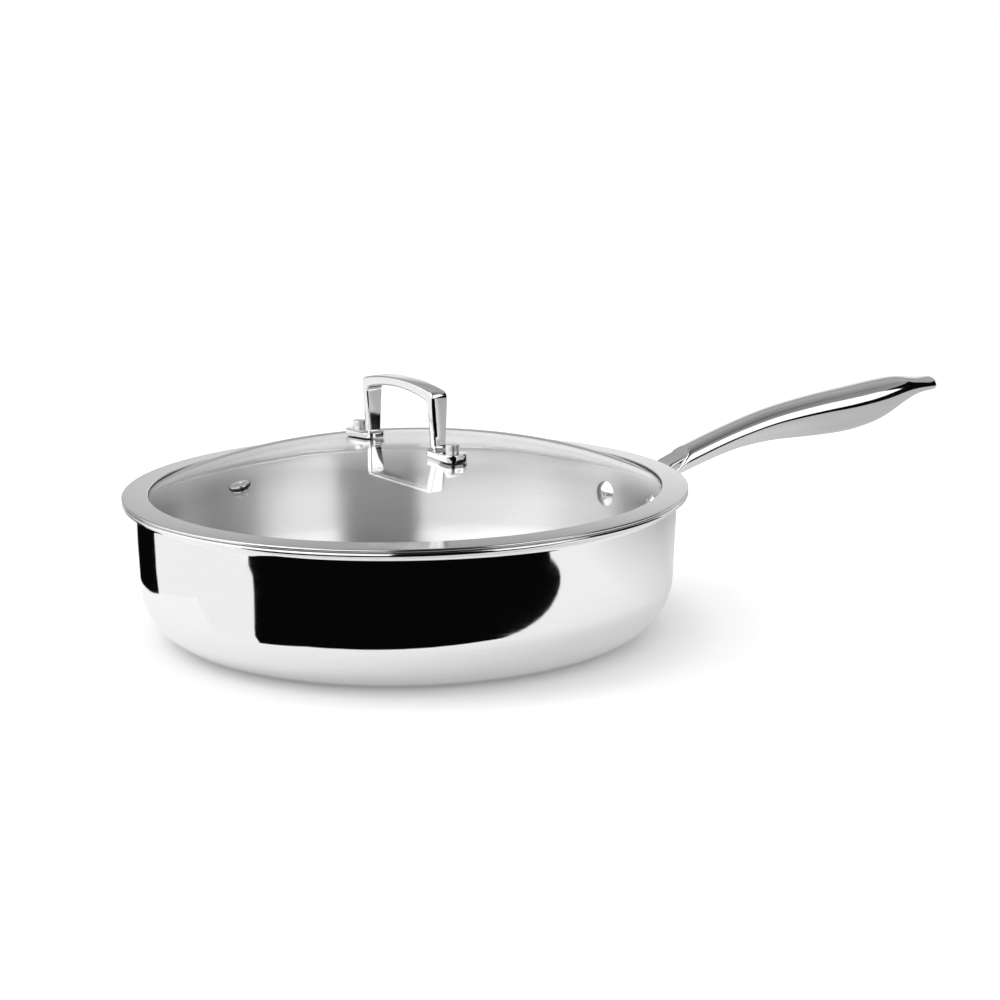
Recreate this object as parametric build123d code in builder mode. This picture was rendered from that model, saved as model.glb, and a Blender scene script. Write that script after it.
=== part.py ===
from build123d import *
import math
import os

# Saute pan with a glass lid, in millimetres.
# The pan stands on Z = 0 with its centre line on +Z, and its long handle points along +X.
os.makedirs("parts", exist_ok=True)

# Pan body: three bonded layers with a flared pouring rim
pan_height = 75.3
lip_radius = 150.0
lip_flat = 0.7
wall_draft_deg = 3.0
corner_radius = 30.0
flare_radius = 4.0
outer_steel = 0.6
core_thickness = 1.5
inner_steel = 0.5

# Centres and turns of the wall outline, worked out from the sizes above
core_inset = outer_steel + core_thickness
clad_thickness = core_inset + inner_steel
wall_draft = math.radians(wall_draft_deg)
draft_sin = math.sin(wall_draft)
draft_cos = math.cos(wall_draft)
draft_tan = math.tan(wall_draft)
nose_radius = clad_thickness / 2
nose_centre_r = lip_radius - nose_radius
flare_centre_r = nose_centre_r - lip_flat
flare_centre_z = pan_height - clad_thickness - flare_radius
wall_radius = flare_centre_r - flare_radius * draft_cos
wall_top_z = flare_centre_z + flare_radius * draft_sin
corner_top_z = corner_radius * (1 - draft_sin)
corner_top_r = wall_radius - (wall_top_z - corner_top_z) * draft_tan
corner_centre_r = corner_top_r - corner_radius * draft_cos

# Rivets that hold the long handle, one each side of it
rivet_drop = 22.0
rivet_half_angle = 9.8
rivet_shank_radius = 3.0
rivet_clearance = 0.05
rivet_head_radius = 7.2
rivet_head_rise = 2.4
rivet_tail_radius = 5.2
rivet_tail_rise = 1.6
rivet_drill_length = 12.0
rivet_z = pan_height - rivet_drop
rivet_hole_radius = rivet_shank_radius + rivet_clearance
rivet_angles = {"left": rivet_half_angle, "right": -rivet_half_angle}

# Bracket: a flange riveted to the wall, with a strap that rises into the grip
flange_thickness = 3.0
flange_width = 70.0
flange_height = 24.0
flange_corner = 9.0
flange_half_angle = 16.0
strap_width = 16.0
strap_thickness = 7.0
strap_edge_round = 1.4
strap_bend_radius = 11.0
socket_clearance = 0.05

# Points on the strap's middle line, out from the lip and down from the rim
strap_root_drop = 20.4
strap_knee_reach = 1.5
strap_knee_drop = 18.5
strap_elbow_reach = 13.5
strap_elbow_drop = 6.4
strap_end_reach = 38.0
strap_end_rise = 3.0

# Grip: hollow, with a crowned top, a crease, flaring sides and a rounded belly.
# Each list runs from the neck to the tip; reach is from the lip and crown is above the rim.
grip_reach = [26.0, 54.0, 81.0, 112.0, 141.0, 162.0, 176.0, 185.0, 191.5, 200.0]
grip_crown = [4.5, 13.3, 20.5, 25.7, 28.9, 31.1, 31.7, 30.6, 29.9, 29.3]
grip_top_half = [8.6, 8.4, 8.6, 9.4, 10.2, 10.4, 9.8, 8.9, 8.6, 8.4]
grip_seam_half = [9.6, 9.8, 10.8, 12.4, 13.6, 13.4, 11.8, 10.2, 9.6, 9.2]
grip_side_drop = [5.6, 6.2, 7.2, 8.8, 9.8, 9.0, 6.8, 4.6, 3.8, 3.4]
grip_belly_drop = [5.4, 7.2, 10.4, 14.2, 15.4, 13.4, 8.8, 5.0, 3.6, 3.0]
grip_arch = 0.8
grip_wall = 1.6
grip_sections = 26
cavity_from_reach = 56.0
cavity_to_reach = 172.0
cavity_sections = 14
tip_corner_radius = 4.0
tip_corner_cut = 9.0
hang_hole_inset = 8.5
hang_hole_width = 8.6
hang_hole_length = 11.0

# Lid rim band: rolled sheet that rests on the pan's lip and grips the glass's edge
seat_gap = 0.2
band_sheet = 0.7
band_inner_rise = 2.1
band_outer_rise = 1.5
band_cover = 3.9
band_hem = 3.3
web_play = 1.3
web_depth = 5.5
seat_z = pan_height + seat_gap
band_inner_z = seat_z + band_inner_rise
band_outer_z = seat_z + band_outer_rise
band_hem_z = seat_z - web_depth
band_web_r = wall_radius - clad_thickness - web_play
band_inner_r = band_web_r - band_cover
band_lip_r = band_web_r - band_hem
band_nose_radius = band_outer_rise / 2
band_nose_r = lip_radius - band_nose_radius

# Lid glass: a flat-topped dome that turns down more steeply towards its edge
glass_thickness = 4.0
dome_radius = 680.0
dome_break_r = 55.0
shoulder_radius = 258.0
edge_play = 0.8
edge_cover = 1.4
glass_edge_r = band_web_r - band_sheet - edge_play
glass_edge_z = band_inner_z - band_sheet - edge_cover

# Centres of the glass's two tangent arcs
dome_turn = math.asin(dome_break_r / dome_radius)
shoulder_centre_r = (dome_radius - shoulder_radius) * math.sin(dome_turn)
edge_turn = math.asin((glass_edge_r - shoulder_centre_r) / shoulder_radius)
shoulder_centre_z = glass_edge_z - shoulder_radius * math.cos(edge_turn)
dome_centre_z = shoulder_centre_z - (dome_radius - shoulder_radius) * math.cos(dome_turn)
glass_apex_z = dome_centre_z + dome_radius

# Lid handle: a bridge whose two legs end in flat feet, turned a little from the pan's handle
lid_turn_deg = -84.0
leg_outer_u = 34.8
leg_thickness = 5.4
leg_width = 7.2
leg_blend = 2.4
toe_blend = 1.6
foot_lift = 0.6
foot_thickness = 2.5
foot_toe = 2.4
foot_heel = 17.8
foot_width = 13.4
foot_corner = 3.4
bridge_rise = 32.4
bridge_bow = 4.0
bridge_thickness = 5.0
bridge_width = 9.6
bridge_outer_round = 3.4
bridge_inner_round = 3.0
taper_drop = 6.4
leg_inner_u = leg_outer_u - leg_thickness
foot_inner_u = leg_inner_u - foot_toe
foot_outer_u = leg_outer_u + foot_heel
foot_bottom_z = dome_centre_z + math.sqrt(dome_radius ** 2 - foot_inner_u ** 2) + foot_lift
foot_top_z = foot_bottom_z + foot_thickness
bridge_shoulder_z = foot_bottom_z + bridge_rise
bridge_crown_z = bridge_shoulder_z + bridge_bow

# Fixings at each foot of the lid handle
post_inset = 7.2
post_radius = 3.6
post_height = 4.4
post_edge_round = 0.5
sleeve_radius = 2.8
sleeve_clearance = 0.05
sleeve_depth = 4.2
gasket_radius = 6.5
gasket_neck_radius = 4.6
glass_hole_clearance = 0.05
screw_radius = 2.0
screw_clearance = 0.05
screw_length = 11.6
pad_radius = 7.4
pad_thickness = 1.5
washer_radius = 6.0
washer_thickness = 1.0
screw_head_radius = 4.0
screw_head_height = 2.4
screw_head_round = 0.9
drive_width = 2.5
drive_depth = 1.4
drill_reach = 20.0
post_u = foot_outer_u - post_inset
foot_hole_radius = sleeve_radius + sleeve_clearance
glass_hole_radius = gasket_neck_radius + glass_hole_clearance
screw_hole_radius = screw_radius + screw_clearance

# Steam vent: a flanged eyelet through the glass, a quarter turn round from the lid handle
vent_inset = 38.6
vent_r = glass_edge_r - vent_inset
vent_turn_deg = lid_turn_deg - 90
vent_flange_radius = 5.0
vent_flange_rise = 1.0
vent_tube_radius = 3.0
vent_bore_radius = 2.0
vent_tube_clearance = 0.05
vent_washer_radius = 5.6
vent_washer_thickness = 0.7
vent_roll_radius = 4.4
vent_roll_rise = 0.9
vent_roll_gap = 0.1
vent_flange_round = 0.4


# Radius of the straight wall at a height, measured that far in from its outer face
def wall_r(height, inset):
    return wall_radius - (wall_top_z - height) * draft_tan - inset / draft_cos


# Outline of the pan from the middle of its base to the end of its lip, at an inset
def wall_outline(inset):
    bend = corner_radius - inset
    flare = flare_radius + inset
    bend_end = (corner_centre_r + bend * draft_cos, corner_radius - bend * draft_sin)
    flare_start = (flare_centre_r - flare * draft_cos, flare_centre_z + flare * draft_sin)
    Line((0, inset), (corner_centre_r, inset))
    CenterArc((corner_centre_r, corner_radius), bend, -90, 90 - wall_draft_deg)
    Line(bend_end, flare_start)
    CenterArc((flare_centre_r, flare_centre_z), flare, 180 - wall_draft_deg, wall_draft_deg - 90)
    Line((flare_centre_r, flare_centre_z + flare), (nose_centre_r, flare_centre_z + flare))


# Plane on the wall's outer face at a rivet, with its normal pointing outwards
def rivet_plane(turn_deg, inset):
    turn = math.radians(turn_deg)
    radius = wall_r(rivet_z, inset)
    outward = (draft_cos * math.cos(turn), draft_cos * math.sin(turn), -draft_sin)
    return Plane(
        origin=(radius * math.cos(turn), radius * math.sin(turn), rivet_z),
        x_dir=(-math.sin(turn), math.cos(turn), 0),
        z_dir=outward,
    )


# Upright plane through the centre line, its X axis turned to an angle
def upright_plane(turn_deg):
    turn = math.radians(turn_deg)
    return Plane(
        origin=(0, 0, 0),
        x_dir=(math.cos(turn), math.sin(turn), 0),
        z_dir=(math.sin(turn), -math.cos(turn), 0),
    )


# Level plane at a height, its X axis turned to an angle
def level_plane(turn_deg, height):
    turn = math.radians(turn_deg)
    return Plane(origin=(0, 0, height), x_dir=(math.cos(turn), math.sin(turn), 0), z_dir=(0, 0, 1))


# Level plane centred on one foot of the lid handle
def foot_plane(side, height):
    turn = math.radians(lid_turn_deg)
    centre = (side * post_u * math.cos(turn), side * post_u * math.sin(turn), height)
    return Plane(origin=centre, x_dir=(math.cos(turn), math.sin(turn), 0), z_dir=(0, 0, 1))


# Height of the glass's outer face over a point beyond the break between its arcs
def shoulder_z(radius):
    reach = radius - shoulder_centre_r
    return shoulder_centre_z + math.sqrt(shoulder_radius * shoulder_radius - reach * reach)


# Height of the glass's outer face over a point inside the break
def dome_z(radius):
    return dome_centre_z + math.sqrt(dome_radius * dome_radius - radius * radius)


# Half section of the glass, from the centre line to its square-cut edge
def glass_outline():
    start = 90 - math.degrees(dome_turn)
    finish = 90 - math.degrees(edge_turn)
    inner_dome = dome_radius - glass_thickness
    inner_shoulder = shoulder_radius - glass_thickness
    shoulder_centre = (shoulder_centre_r, shoulder_centre_z)
    edge_sin = math.sin(edge_turn)
    edge_cos = math.cos(edge_turn)
    top_edge = (
        shoulder_centre_r + shoulder_radius * edge_sin,
        shoulder_centre_z + shoulder_radius * edge_cos,
    )
    low_edge = (
        shoulder_centre_r + inner_shoulder * edge_sin,
        shoulder_centre_z + inner_shoulder * edge_cos,
    )
    CenterArc((0, dome_centre_z), dome_radius, 90, start - 90)
    CenterArc(shoulder_centre, shoulder_radius, start, finish - start)
    Line(top_edge, low_edge)
    CenterArc(shoulder_centre, inner_shoulder, finish, start - finish)
    CenterArc((0, dome_centre_z), inner_dome, start, 90 - start)
    Line((0, glass_apex_z - glass_thickness), (0, glass_apex_z))


# Steepness of a grip list at one of its stations, weighted towards the nearer neighbour
def grip_slope(sizes, station):
    last = len(sizes) - 1
    if station == 0 or station == last:
        low = min(station, last - 1)
        return (sizes[low + 1] - sizes[low]) / (grip_reach[low + 1] - grip_reach[low])
    before = grip_reach[station] - grip_reach[station - 1]
    after = grip_reach[station + 1] - grip_reach[station]
    rise_before = (sizes[station] - sizes[station - 1]) / before
    rise_after = (sizes[station + 1] - sizes[station]) / after
    return (rise_before * after + rise_after * before) / (before + after)


# Value of a grip list at any reach, on a smooth cubic curve through its stations
def along_grip(sizes, reach):
    station = max(k for k in range(len(sizes) - 1) if grip_reach[k] <= reach)
    span = grip_reach[station + 1] - grip_reach[station]
    part = (reach - grip_reach[station]) / span
    start_bend = part * (1 - part) ** 2 * span * grip_slope(sizes, station)
    end_bend = part ** 2 * (1 - part) * span * grip_slope(sizes, station + 1)
    blend = part ** 2 * (3 - 2 * part)
    return sizes[station] * (1 - blend) + sizes[station + 1] * blend + start_bend - end_bend


# Section of the grip at a reach, drawn in by a wall thickness for the cavity
def grip_section(reach, inset):
    outer_crown_z = pan_height + along_grip(grip_crown, reach)
    crown_z = outer_crown_z - inset
    crease_z = crown_z - grip_arch
    seam_z = outer_crown_z - grip_arch - along_grip(grip_side_drop, reach)
    keel_z = seam_z - along_grip(grip_belly_drop, reach) + inset
    top_half = along_grip(grip_top_half, reach) - inset
    seam_half = along_grip(grip_seam_half, reach) - inset
    ThreePointArc((-top_half, crease_z), (0, crown_z), (top_half, crease_z))
    Line((top_half, crease_z), (seam_half, seam_z))
    ThreePointArc((seam_half, seam_z), (0, keel_z), (-seam_half, seam_z))
    Line((-seam_half, seam_z), (-top_half, crease_z))


# Path of the strap's middle, from the flange up into the grip
def strap_path():
    root_z = pan_height - strap_root_drop
    root = (wall_r(root_z, -flange_thickness / 2), root_z)
    knee = (lip_radius + strap_knee_reach, pan_height - strap_knee_drop)
    elbow = (lip_radius + strap_elbow_reach, pan_height - strap_elbow_drop)
    tip = (lip_radius + strap_end_reach, pan_height + strap_end_rise)
    return FilletPolyline(root, knee, elbow, tip, radius=strap_bend_radius)


# Outer steel skin of the pan, thickened at the rim where it seals the core
with BuildPart() as outer_shell:
    with BuildSketch(Plane.XZ):
        with BuildLine():
            wall_outline(0)
            CenterArc((nose_centre_r, pan_height - nose_radius), nose_radius, -90, 180)
            Line((nose_centre_r, pan_height), (nose_centre_r, pan_height - clad_thickness + outer_steel))
            wall_outline(outer_steel)
            Line((0, outer_steel), (0, 0))
        make_face()
    revolve(axis=Axis.Z)
    for rivet_turn in rivet_angles.values():
        with BuildSketch(rivet_plane(rivet_turn, 0)):
            Circle(rivet_hole_radius)
        extrude(amount=rivet_drill_length, both=True, mode=Mode.SUBTRACT)

# Aluminium core that spreads the heat, sealed between the two steel skins
with BuildPart() as aluminium_core:
    with BuildSketch(Plane.XZ):
        with BuildLine():
            wall_outline(outer_steel)
            Line(
                (nose_centre_r, pan_height - clad_thickness + outer_steel),
                (nose_centre_r, pan_height - inner_steel),
            )
            wall_outline(core_inset)
            Line((0, core_inset), (0, outer_steel))
        make_face()
    revolve(axis=Axis.Z)
    for rivet_turn in rivet_angles.values():
        with BuildSketch(rivet_plane(rivet_turn, 0)):
            Circle(rivet_hole_radius)
        extrude(amount=rivet_drill_length, both=True, mode=Mode.SUBTRACT)

# Inner steel lining, the cooking surface
with BuildPart() as inner_lining:
    with BuildSketch(Plane.XZ):
        with BuildLine():
            wall_outline(core_inset)
            Line((nose_centre_r, pan_height - inner_steel), (nose_centre_r, pan_height))
            wall_outline(clad_thickness)
            Line((0, clad_thickness), (0, core_inset))
        make_face()
    revolve(axis=Axis.Z)
    for rivet_turn in rivet_angles.values():
        with BuildSketch(rivet_plane(rivet_turn, 0)):
            Circle(rivet_hole_radius)
        extrude(amount=rivet_drill_length, both=True, mode=Mode.SUBTRACT)

# Bracket: the flange follows the wall, and the strap bends up clear of the rim
with BuildPart() as handle_bracket:
    flange_low_z = rivet_z - flange_height / 2
    flange_high_z = rivet_z + flange_height / 2
    with BuildSketch(upright_plane(-flange_half_angle)):
        with BuildLine():
            Polyline(
                (wall_r(flange_low_z, 0), flange_low_z),
                (wall_r(flange_high_z, 0), flange_high_z),
                (wall_r(flange_high_z, -flange_thickness), flange_high_z),
                (wall_r(flange_low_z, -flange_thickness), flange_low_z),
                close=True,
            )
        make_face()
    revolve(axis=Axis.Z, revolution_arc=2 * flange_half_angle)
    with BuildSketch(Plane.YZ):
        with Locations((0, rivet_z)):
            RectangleRounded(flange_width, flange_height, flange_corner)
    extrude(amount=lip_radius + flange_width, mode=Mode.INTERSECT)
    with BuildLine(Plane.XZ) as strap_line:
        strap_path()
    with BuildSketch(Plane(origin=strap_line.line @ 0, x_dir=(0, 1, 0), z_dir=strap_line.line % 0)):
        RectangleRounded(strap_width, strap_thickness, strap_edge_round)
    sweep(path=strap_line.line)
    for rivet_turn in rivet_angles.values():
        with BuildSketch(rivet_plane(rivet_turn, 0)):
            Circle(rivet_hole_radius)
        extrude(amount=rivet_drill_length, both=True, mode=Mode.SUBTRACT)

# Grip: hollow casting with a socket for the strap and a hanging loop at its end
with BuildPart() as handle_grip:
    grip_step = (grip_reach[-1] - grip_reach[0]) / (grip_sections - 1)
    for step in range(grip_sections):
        reach = grip_reach[0] + step * grip_step
        with BuildSketch(Plane.YZ.offset(lip_radius + reach)):
            with BuildLine():
                grip_section(reach, 0)
            make_face()
    loft()
    for side in (-1, 1):
        round_x = lip_radius + grip_reach[-1] - tip_corner_radius
        round_y = side * (grip_seam_half[-1] - tip_corner_radius)
        with BuildSketch(Plane.XY):
            with Locations((round_x, round_y)):
                Rectangle(
                    tip_corner_cut,
                    tip_corner_cut,
                    align=(Align.MIN, Align.MIN if side > 0 else Align.MAX),
                )
                Circle(tip_corner_radius, mode=Mode.SUBTRACT)
        extrude(amount=lip_radius, mode=Mode.SUBTRACT)
    cavity_step = (cavity_to_reach - cavity_from_reach) / (cavity_sections - 1)
    for step in range(cavity_sections):
        reach = cavity_from_reach + step * cavity_step
        with BuildSketch(Plane.YZ.offset(lip_radius + reach)):
            with BuildLine():
                grip_section(reach, grip_wall)
            make_face()
    loft(mode=Mode.SUBTRACT)
    with BuildLine(Plane.XZ) as socket_line:
        strap_path()
    with BuildSketch(Plane(origin=socket_line.line @ 0, x_dir=(0, 1, 0), z_dir=socket_line.line % 0)):
        RectangleRounded(
            strap_width + 2 * socket_clearance,
            strap_thickness + 2 * socket_clearance,
            strap_edge_round + socket_clearance,
        )
    sweep(path=socket_line.line, mode=Mode.SUBTRACT)
    with BuildSketch(Plane.XY):
        with Locations((lip_radius + grip_reach[-1] - hang_hole_inset, 0)):
            SlotOverall(hang_hole_length, hang_hole_width)
    extrude(amount=lip_radius, mode=Mode.SUBTRACT)

# Rivets: a domed head inside the pan, a shank through every layer and a low tail outside
rivets = {}
for side_name, rivet_turn in rivet_angles.items():
    with BuildPart() as handle_rivet:
        head_sag = rivet_head_radius ** 2 / (2 * wall_r(rivet_z, clad_thickness))
        head_ball = (rivet_head_radius ** 2 + rivet_head_rise ** 2) / (2 * rivet_head_rise)
        tail_ball = (rivet_tail_radius ** 2 + rivet_tail_rise ** 2) / (2 * rivet_tail_rise)
        head_base = -clad_thickness - head_sag
        head_tip = head_base - rivet_head_rise
        tail_tip = flange_thickness + rivet_tail_rise
        head_half_turn = math.degrees(math.asin(rivet_head_radius / head_ball))
        tail_half_turn = math.degrees(math.asin(rivet_tail_radius / tail_ball))
        face_plane = rivet_plane(rivet_turn, 0)
        section_plane = Plane(origin=face_plane.origin, x_dir=face_plane.x_dir, z_dir=-face_plane.y_dir)
        with BuildSketch(section_plane):
            with BuildLine():
                CenterArc((0, head_tip + head_ball), head_ball, -90, head_half_turn)
                Line((rivet_head_radius, head_base), (rivet_shank_radius, head_base))
                Line((rivet_shank_radius, head_base), (rivet_shank_radius, flange_thickness))
                Line((rivet_shank_radius, flange_thickness), (rivet_tail_radius, flange_thickness))
                CenterArc((0, tail_tip - tail_ball), tail_ball, 90 - tail_half_turn, tail_half_turn)
                Line((0, tail_tip), (0, head_tip))
            make_face()
        revolve(axis=Axis(origin=face_plane.origin, direction=face_plane.z_dir))
    rivets[side_name] = handle_rivet.part

# Tempered glass of the lid, drilled for the two fixings and the vent
with BuildPart() as lid_glass:
    with BuildSketch(Plane.XZ):
        with BuildLine():
            glass_outline()
        make_face()
    revolve(axis=Axis.Z)
    for side in (-1, 1):
        with BuildSketch(foot_plane(side, foot_bottom_z)):
            Circle(glass_hole_radius)
        extrude(amount=drill_reach, both=True, mode=Mode.SUBTRACT)
    vent_lean = math.asin((vent_r - shoulder_centre_r) / shoulder_radius)
    vent_turn = math.radians(vent_turn_deg)
    vent_plane = Plane(
        origin=(vent_r * math.cos(vent_turn), vent_r * math.sin(vent_turn), shoulder_z(vent_r)),
        x_dir=(-math.sin(vent_turn), math.cos(vent_turn), 0),
        z_dir=(
            math.sin(vent_lean) * math.cos(vent_turn),
            math.sin(vent_lean) * math.sin(vent_turn),
            math.cos(vent_lean),
        ),
    )
    with BuildSketch(vent_plane):
        Circle(vent_tube_radius + vent_tube_clearance)
    extrude(amount=drill_reach, both=True, mode=Mode.SUBTRACT)

# Steel rim band: top flange over the glass, rounded nose, web and inturned hem
with BuildPart() as lid_band:
    with BuildSketch(Plane.XZ):
        with BuildLine():
            Line((band_inner_r, band_inner_z), (band_nose_r, band_outer_z))
            CenterArc((band_nose_r, seat_z + band_nose_radius), band_nose_radius, 90, -180)
            Polyline(
                (band_nose_r, seat_z),
                (band_web_r, seat_z),
                (band_web_r, band_hem_z),
                (band_lip_r, band_hem_z),
                (band_lip_r, band_hem_z + band_sheet),
                (band_web_r - band_sheet, band_hem_z + band_sheet),
                (band_web_r - band_sheet, band_inner_z - band_sheet),
                (band_inner_r, band_inner_z - band_sheet),
                (band_inner_r, band_inner_z),
            )
        make_face()
    revolve(axis=Axis.Z)

# Seal: rubber bead that fills the band's channel round the glass's edge
with BuildPart() as glass_seal:
    with BuildSketch(Plane.XZ):
        with BuildLine():
            Polyline(
                (band_lip_r, band_hem_z + band_sheet),
                (band_web_r - band_sheet, band_hem_z + band_sheet),
                (band_web_r - band_sheet, band_inner_z - band_sheet),
                (band_inner_r, band_inner_z - band_sheet),
                close=True,
            )
        make_face()
        with BuildLine():
            glass_outline()
        make_face(mode=Mode.SUBTRACT)
    revolve(axis=Axis.Z)

# Bridge handle of the lid, polished steel; its feet are shaped to the glass, just above it
with BuildPart() as lid_handle:
    foot_low_z = dome_z(foot_outer_u)
    lifted_plane = Plane(origin=(0, 0, foot_lift), x_dir=(1, 0, 0), z_dir=(0, -1, 0))
    bridge_inner_z = bridge_shoulder_z - bridge_thickness
    bridge_top_z = bridge_crown_z + bridge_thickness
    taper_top_z = bridge_shoulder_z - taper_drop
    with BuildSketch(upright_plane(lid_turn_deg)) as bridge_side:
        with BuildLine():
            ThreePointArc(
                (-leg_outer_u, bridge_shoulder_z),
                (0, bridge_crown_z),
                (leg_outer_u, bridge_shoulder_z),
            )
            Line((leg_outer_u, bridge_shoulder_z), (leg_outer_u, foot_bottom_z))
            Line((leg_outer_u, foot_bottom_z), (leg_inner_u, foot_bottom_z))
            Line((leg_inner_u, foot_bottom_z), (leg_inner_u, bridge_inner_z))
            ThreePointArc(
                (leg_inner_u, bridge_inner_z),
                (0, bridge_crown_z - bridge_thickness),
                (-leg_inner_u, bridge_inner_z),
            )
            Line((-leg_inner_u, bridge_inner_z), (-leg_inner_u, foot_bottom_z))
            Line((-leg_inner_u, foot_bottom_z), (-leg_outer_u, foot_bottom_z))
            Line((-leg_outer_u, foot_bottom_z), (-leg_outer_u, bridge_shoulder_z))
        make_face()
        fillet(bridge_side.vertices().group_by(Axis.Y)[2], bridge_outer_round)
        fillet(bridge_side.vertices().group_by(Axis.Y)[1], bridge_inner_round)
        for side in (-1, 1):
            with Locations((side * (leg_outer_u + leg_blend / 2), foot_top_z + leg_blend / 2)):
                Rectangle(leg_blend, leg_blend)
            with Locations((side * (leg_outer_u + leg_blend), foot_top_z + leg_blend)):
                Circle(leg_blend, mode=Mode.SUBTRACT)
            with Locations((side * (leg_inner_u - toe_blend / 2), foot_top_z + toe_blend / 2)):
                Rectangle(toe_blend, toe_blend)
            with Locations((side * (leg_inner_u - toe_blend), foot_top_z + toe_blend)):
                Circle(toe_blend, mode=Mode.SUBTRACT)
    extrude(amount=foot_width / 2, both=True)
    with BuildSketch(upright_plane(lid_turn_deg + 90)):
        with BuildLine():
            flare_half = leg_width / 2 + leg_blend
            Line((-foot_width / 2, foot_bottom_z), (foot_width / 2, foot_bottom_z))
            Line((foot_width / 2, foot_bottom_z), (foot_width / 2, foot_top_z))
            Line((foot_width / 2, foot_top_z), (flare_half, foot_top_z))
            CenterArc((flare_half, foot_top_z + leg_blend), leg_blend, -90, -90)
            Line((leg_width / 2, foot_top_z + leg_blend), (bridge_width / 2, taper_top_z))
            Line((bridge_width / 2, taper_top_z), (bridge_width / 2, bridge_top_z))
            Line((bridge_width / 2, bridge_top_z), (-bridge_width / 2, bridge_top_z))
            Line((-bridge_width / 2, bridge_top_z), (-bridge_width / 2, taper_top_z))
            Line((-bridge_width / 2, taper_top_z), (-leg_width / 2, foot_top_z + leg_blend))
            CenterArc((-flare_half, foot_top_z + leg_blend), leg_blend, 0, -90)
            Line((-flare_half, foot_top_z), (-foot_width / 2, foot_top_z))
            Line((-foot_width / 2, foot_top_z), (-foot_width / 2, foot_bottom_z))
        make_face()
    extrude(amount=foot_outer_u + foot_width, both=True, mode=Mode.INTERSECT)
    with BuildSketch(level_plane(lid_turn_deg, foot_low_z)):
        for side in (-1, 1):
            with Locations((side * (foot_inner_u + foot_outer_u) / 2, 0)):
                RectangleRounded(foot_outer_u - foot_inner_u, foot_width, foot_corner)
    extrude(amount=foot_top_z - foot_low_z)
    with BuildSketch(lifted_plane):
        with BuildLine():
            glass_outline()
        make_face()
    revolve(axis=Axis.Z, mode=Mode.SUBTRACT)
    for side in (-1, 1):
        with BuildSketch(foot_plane(side, foot_low_z)):
            Circle(foot_hole_radius)
        extrude(amount=foot_top_z - foot_low_z, mode=Mode.SUBTRACT)

# Fixings at each foot: a round post, a rubber gasket, a pad, a washer and a screw from below
post_nuts = {}
foot_gaskets = {}
glass_pads = {}
steel_washers = {}
clamp_screws = {}
glass_low_z = dome_z(post_u) - glass_thickness
pad_low_z = glass_low_z - pad_thickness
washer_low_z = pad_low_z - washer_thickness
screw_end_z = washer_low_z + screw_length
for side_name, side in {"front": 1, "rear": -1}.items():
    with BuildPart() as post_nut:
        with BuildSketch(foot_plane(side, foot_top_z)):
            Circle(post_radius)
        extrude(amount=post_height)
        fillet(post_nut.edges().group_by(Axis.Z)[-1], post_edge_round)
        with BuildSketch(foot_plane(side, foot_top_z)):
            Circle(sleeve_radius)
        extrude(amount=-sleeve_depth)
        with BuildSketch(foot_plane(side, foot_top_z - sleeve_depth)):
            Circle(screw_hole_radius)
        extrude(amount=screw_end_z - foot_top_z + sleeve_depth + screw_clearance, mode=Mode.SUBTRACT)
    post_nuts[side_name] = post_nut.part

    with BuildPart() as foot_gasket:
        with BuildSketch(foot_plane(side, foot_bottom_z)):
            Circle(gasket_radius)
        extrude(amount=-glass_thickness)
        with BuildSketch(Plane.XZ):
            with BuildLine():
                glass_outline()
            make_face()
        revolve(axis=Axis.Z, mode=Mode.SUBTRACT)
        with BuildSketch(foot_plane(side, foot_bottom_z)):
            Circle(gasket_neck_radius)
        extrude(amount=-glass_thickness)
        with BuildSketch(lifted_plane):
            with BuildLine():
                glass_outline()
            make_face()
        revolve(axis=Axis.Z, mode=Mode.INTERSECT)
        with BuildSketch(foot_plane(side, foot_bottom_z)):
            Circle(foot_hole_radius)
        extrude(amount=-glass_thickness, mode=Mode.SUBTRACT)
    foot_gaskets[side_name] = foot_gasket.part

    with BuildPart() as glass_pad:
        with BuildSketch(foot_plane(side, pad_low_z)):
            Circle(pad_radius)
            Circle(screw_hole_radius, mode=Mode.SUBTRACT)
        extrude(amount=glass_thickness)
        with BuildSketch(Plane.XZ):
            with BuildLine():
                glass_outline()
            make_face()
        revolve(axis=Axis.Z, mode=Mode.SUBTRACT)
    glass_pads[side_name] = glass_pad.part

    with BuildPart() as steel_washer:
        with BuildSketch(foot_plane(side, washer_low_z)):
            Circle(washer_radius)
            Circle(screw_hole_radius, mode=Mode.SUBTRACT)
        extrude(amount=washer_thickness)
    steel_washers[side_name] = steel_washer.part

    with BuildPart() as clamp_screw:
        with BuildSketch(foot_plane(side, washer_low_z)):
            Circle(screw_head_radius)
        extrude(amount=-screw_head_height)
        fillet(clamp_screw.edges().group_by(Axis.Z)[0], screw_head_round)
        with BuildSketch(foot_plane(side, washer_low_z - screw_head_height)):
            RegularPolygon(drive_width / 2, 6, major_radius=False)
        extrude(amount=drive_depth, mode=Mode.SUBTRACT)
        with BuildSketch(foot_plane(side, washer_low_z)):
            Circle(screw_radius)
        extrude(amount=screw_length)
    clamp_screws[side_name] = clamp_screw.part

# Steam vent: a rubber washer on the glass, then an eyelet rolled over under the glass
with BuildPart() as vent_washer:
    with BuildSketch(vent_plane):
        Circle(vent_washer_radius)
        Circle(vent_tube_radius + vent_tube_clearance, mode=Mode.SUBTRACT)
    extrude(amount=vent_washer_thickness)

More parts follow.
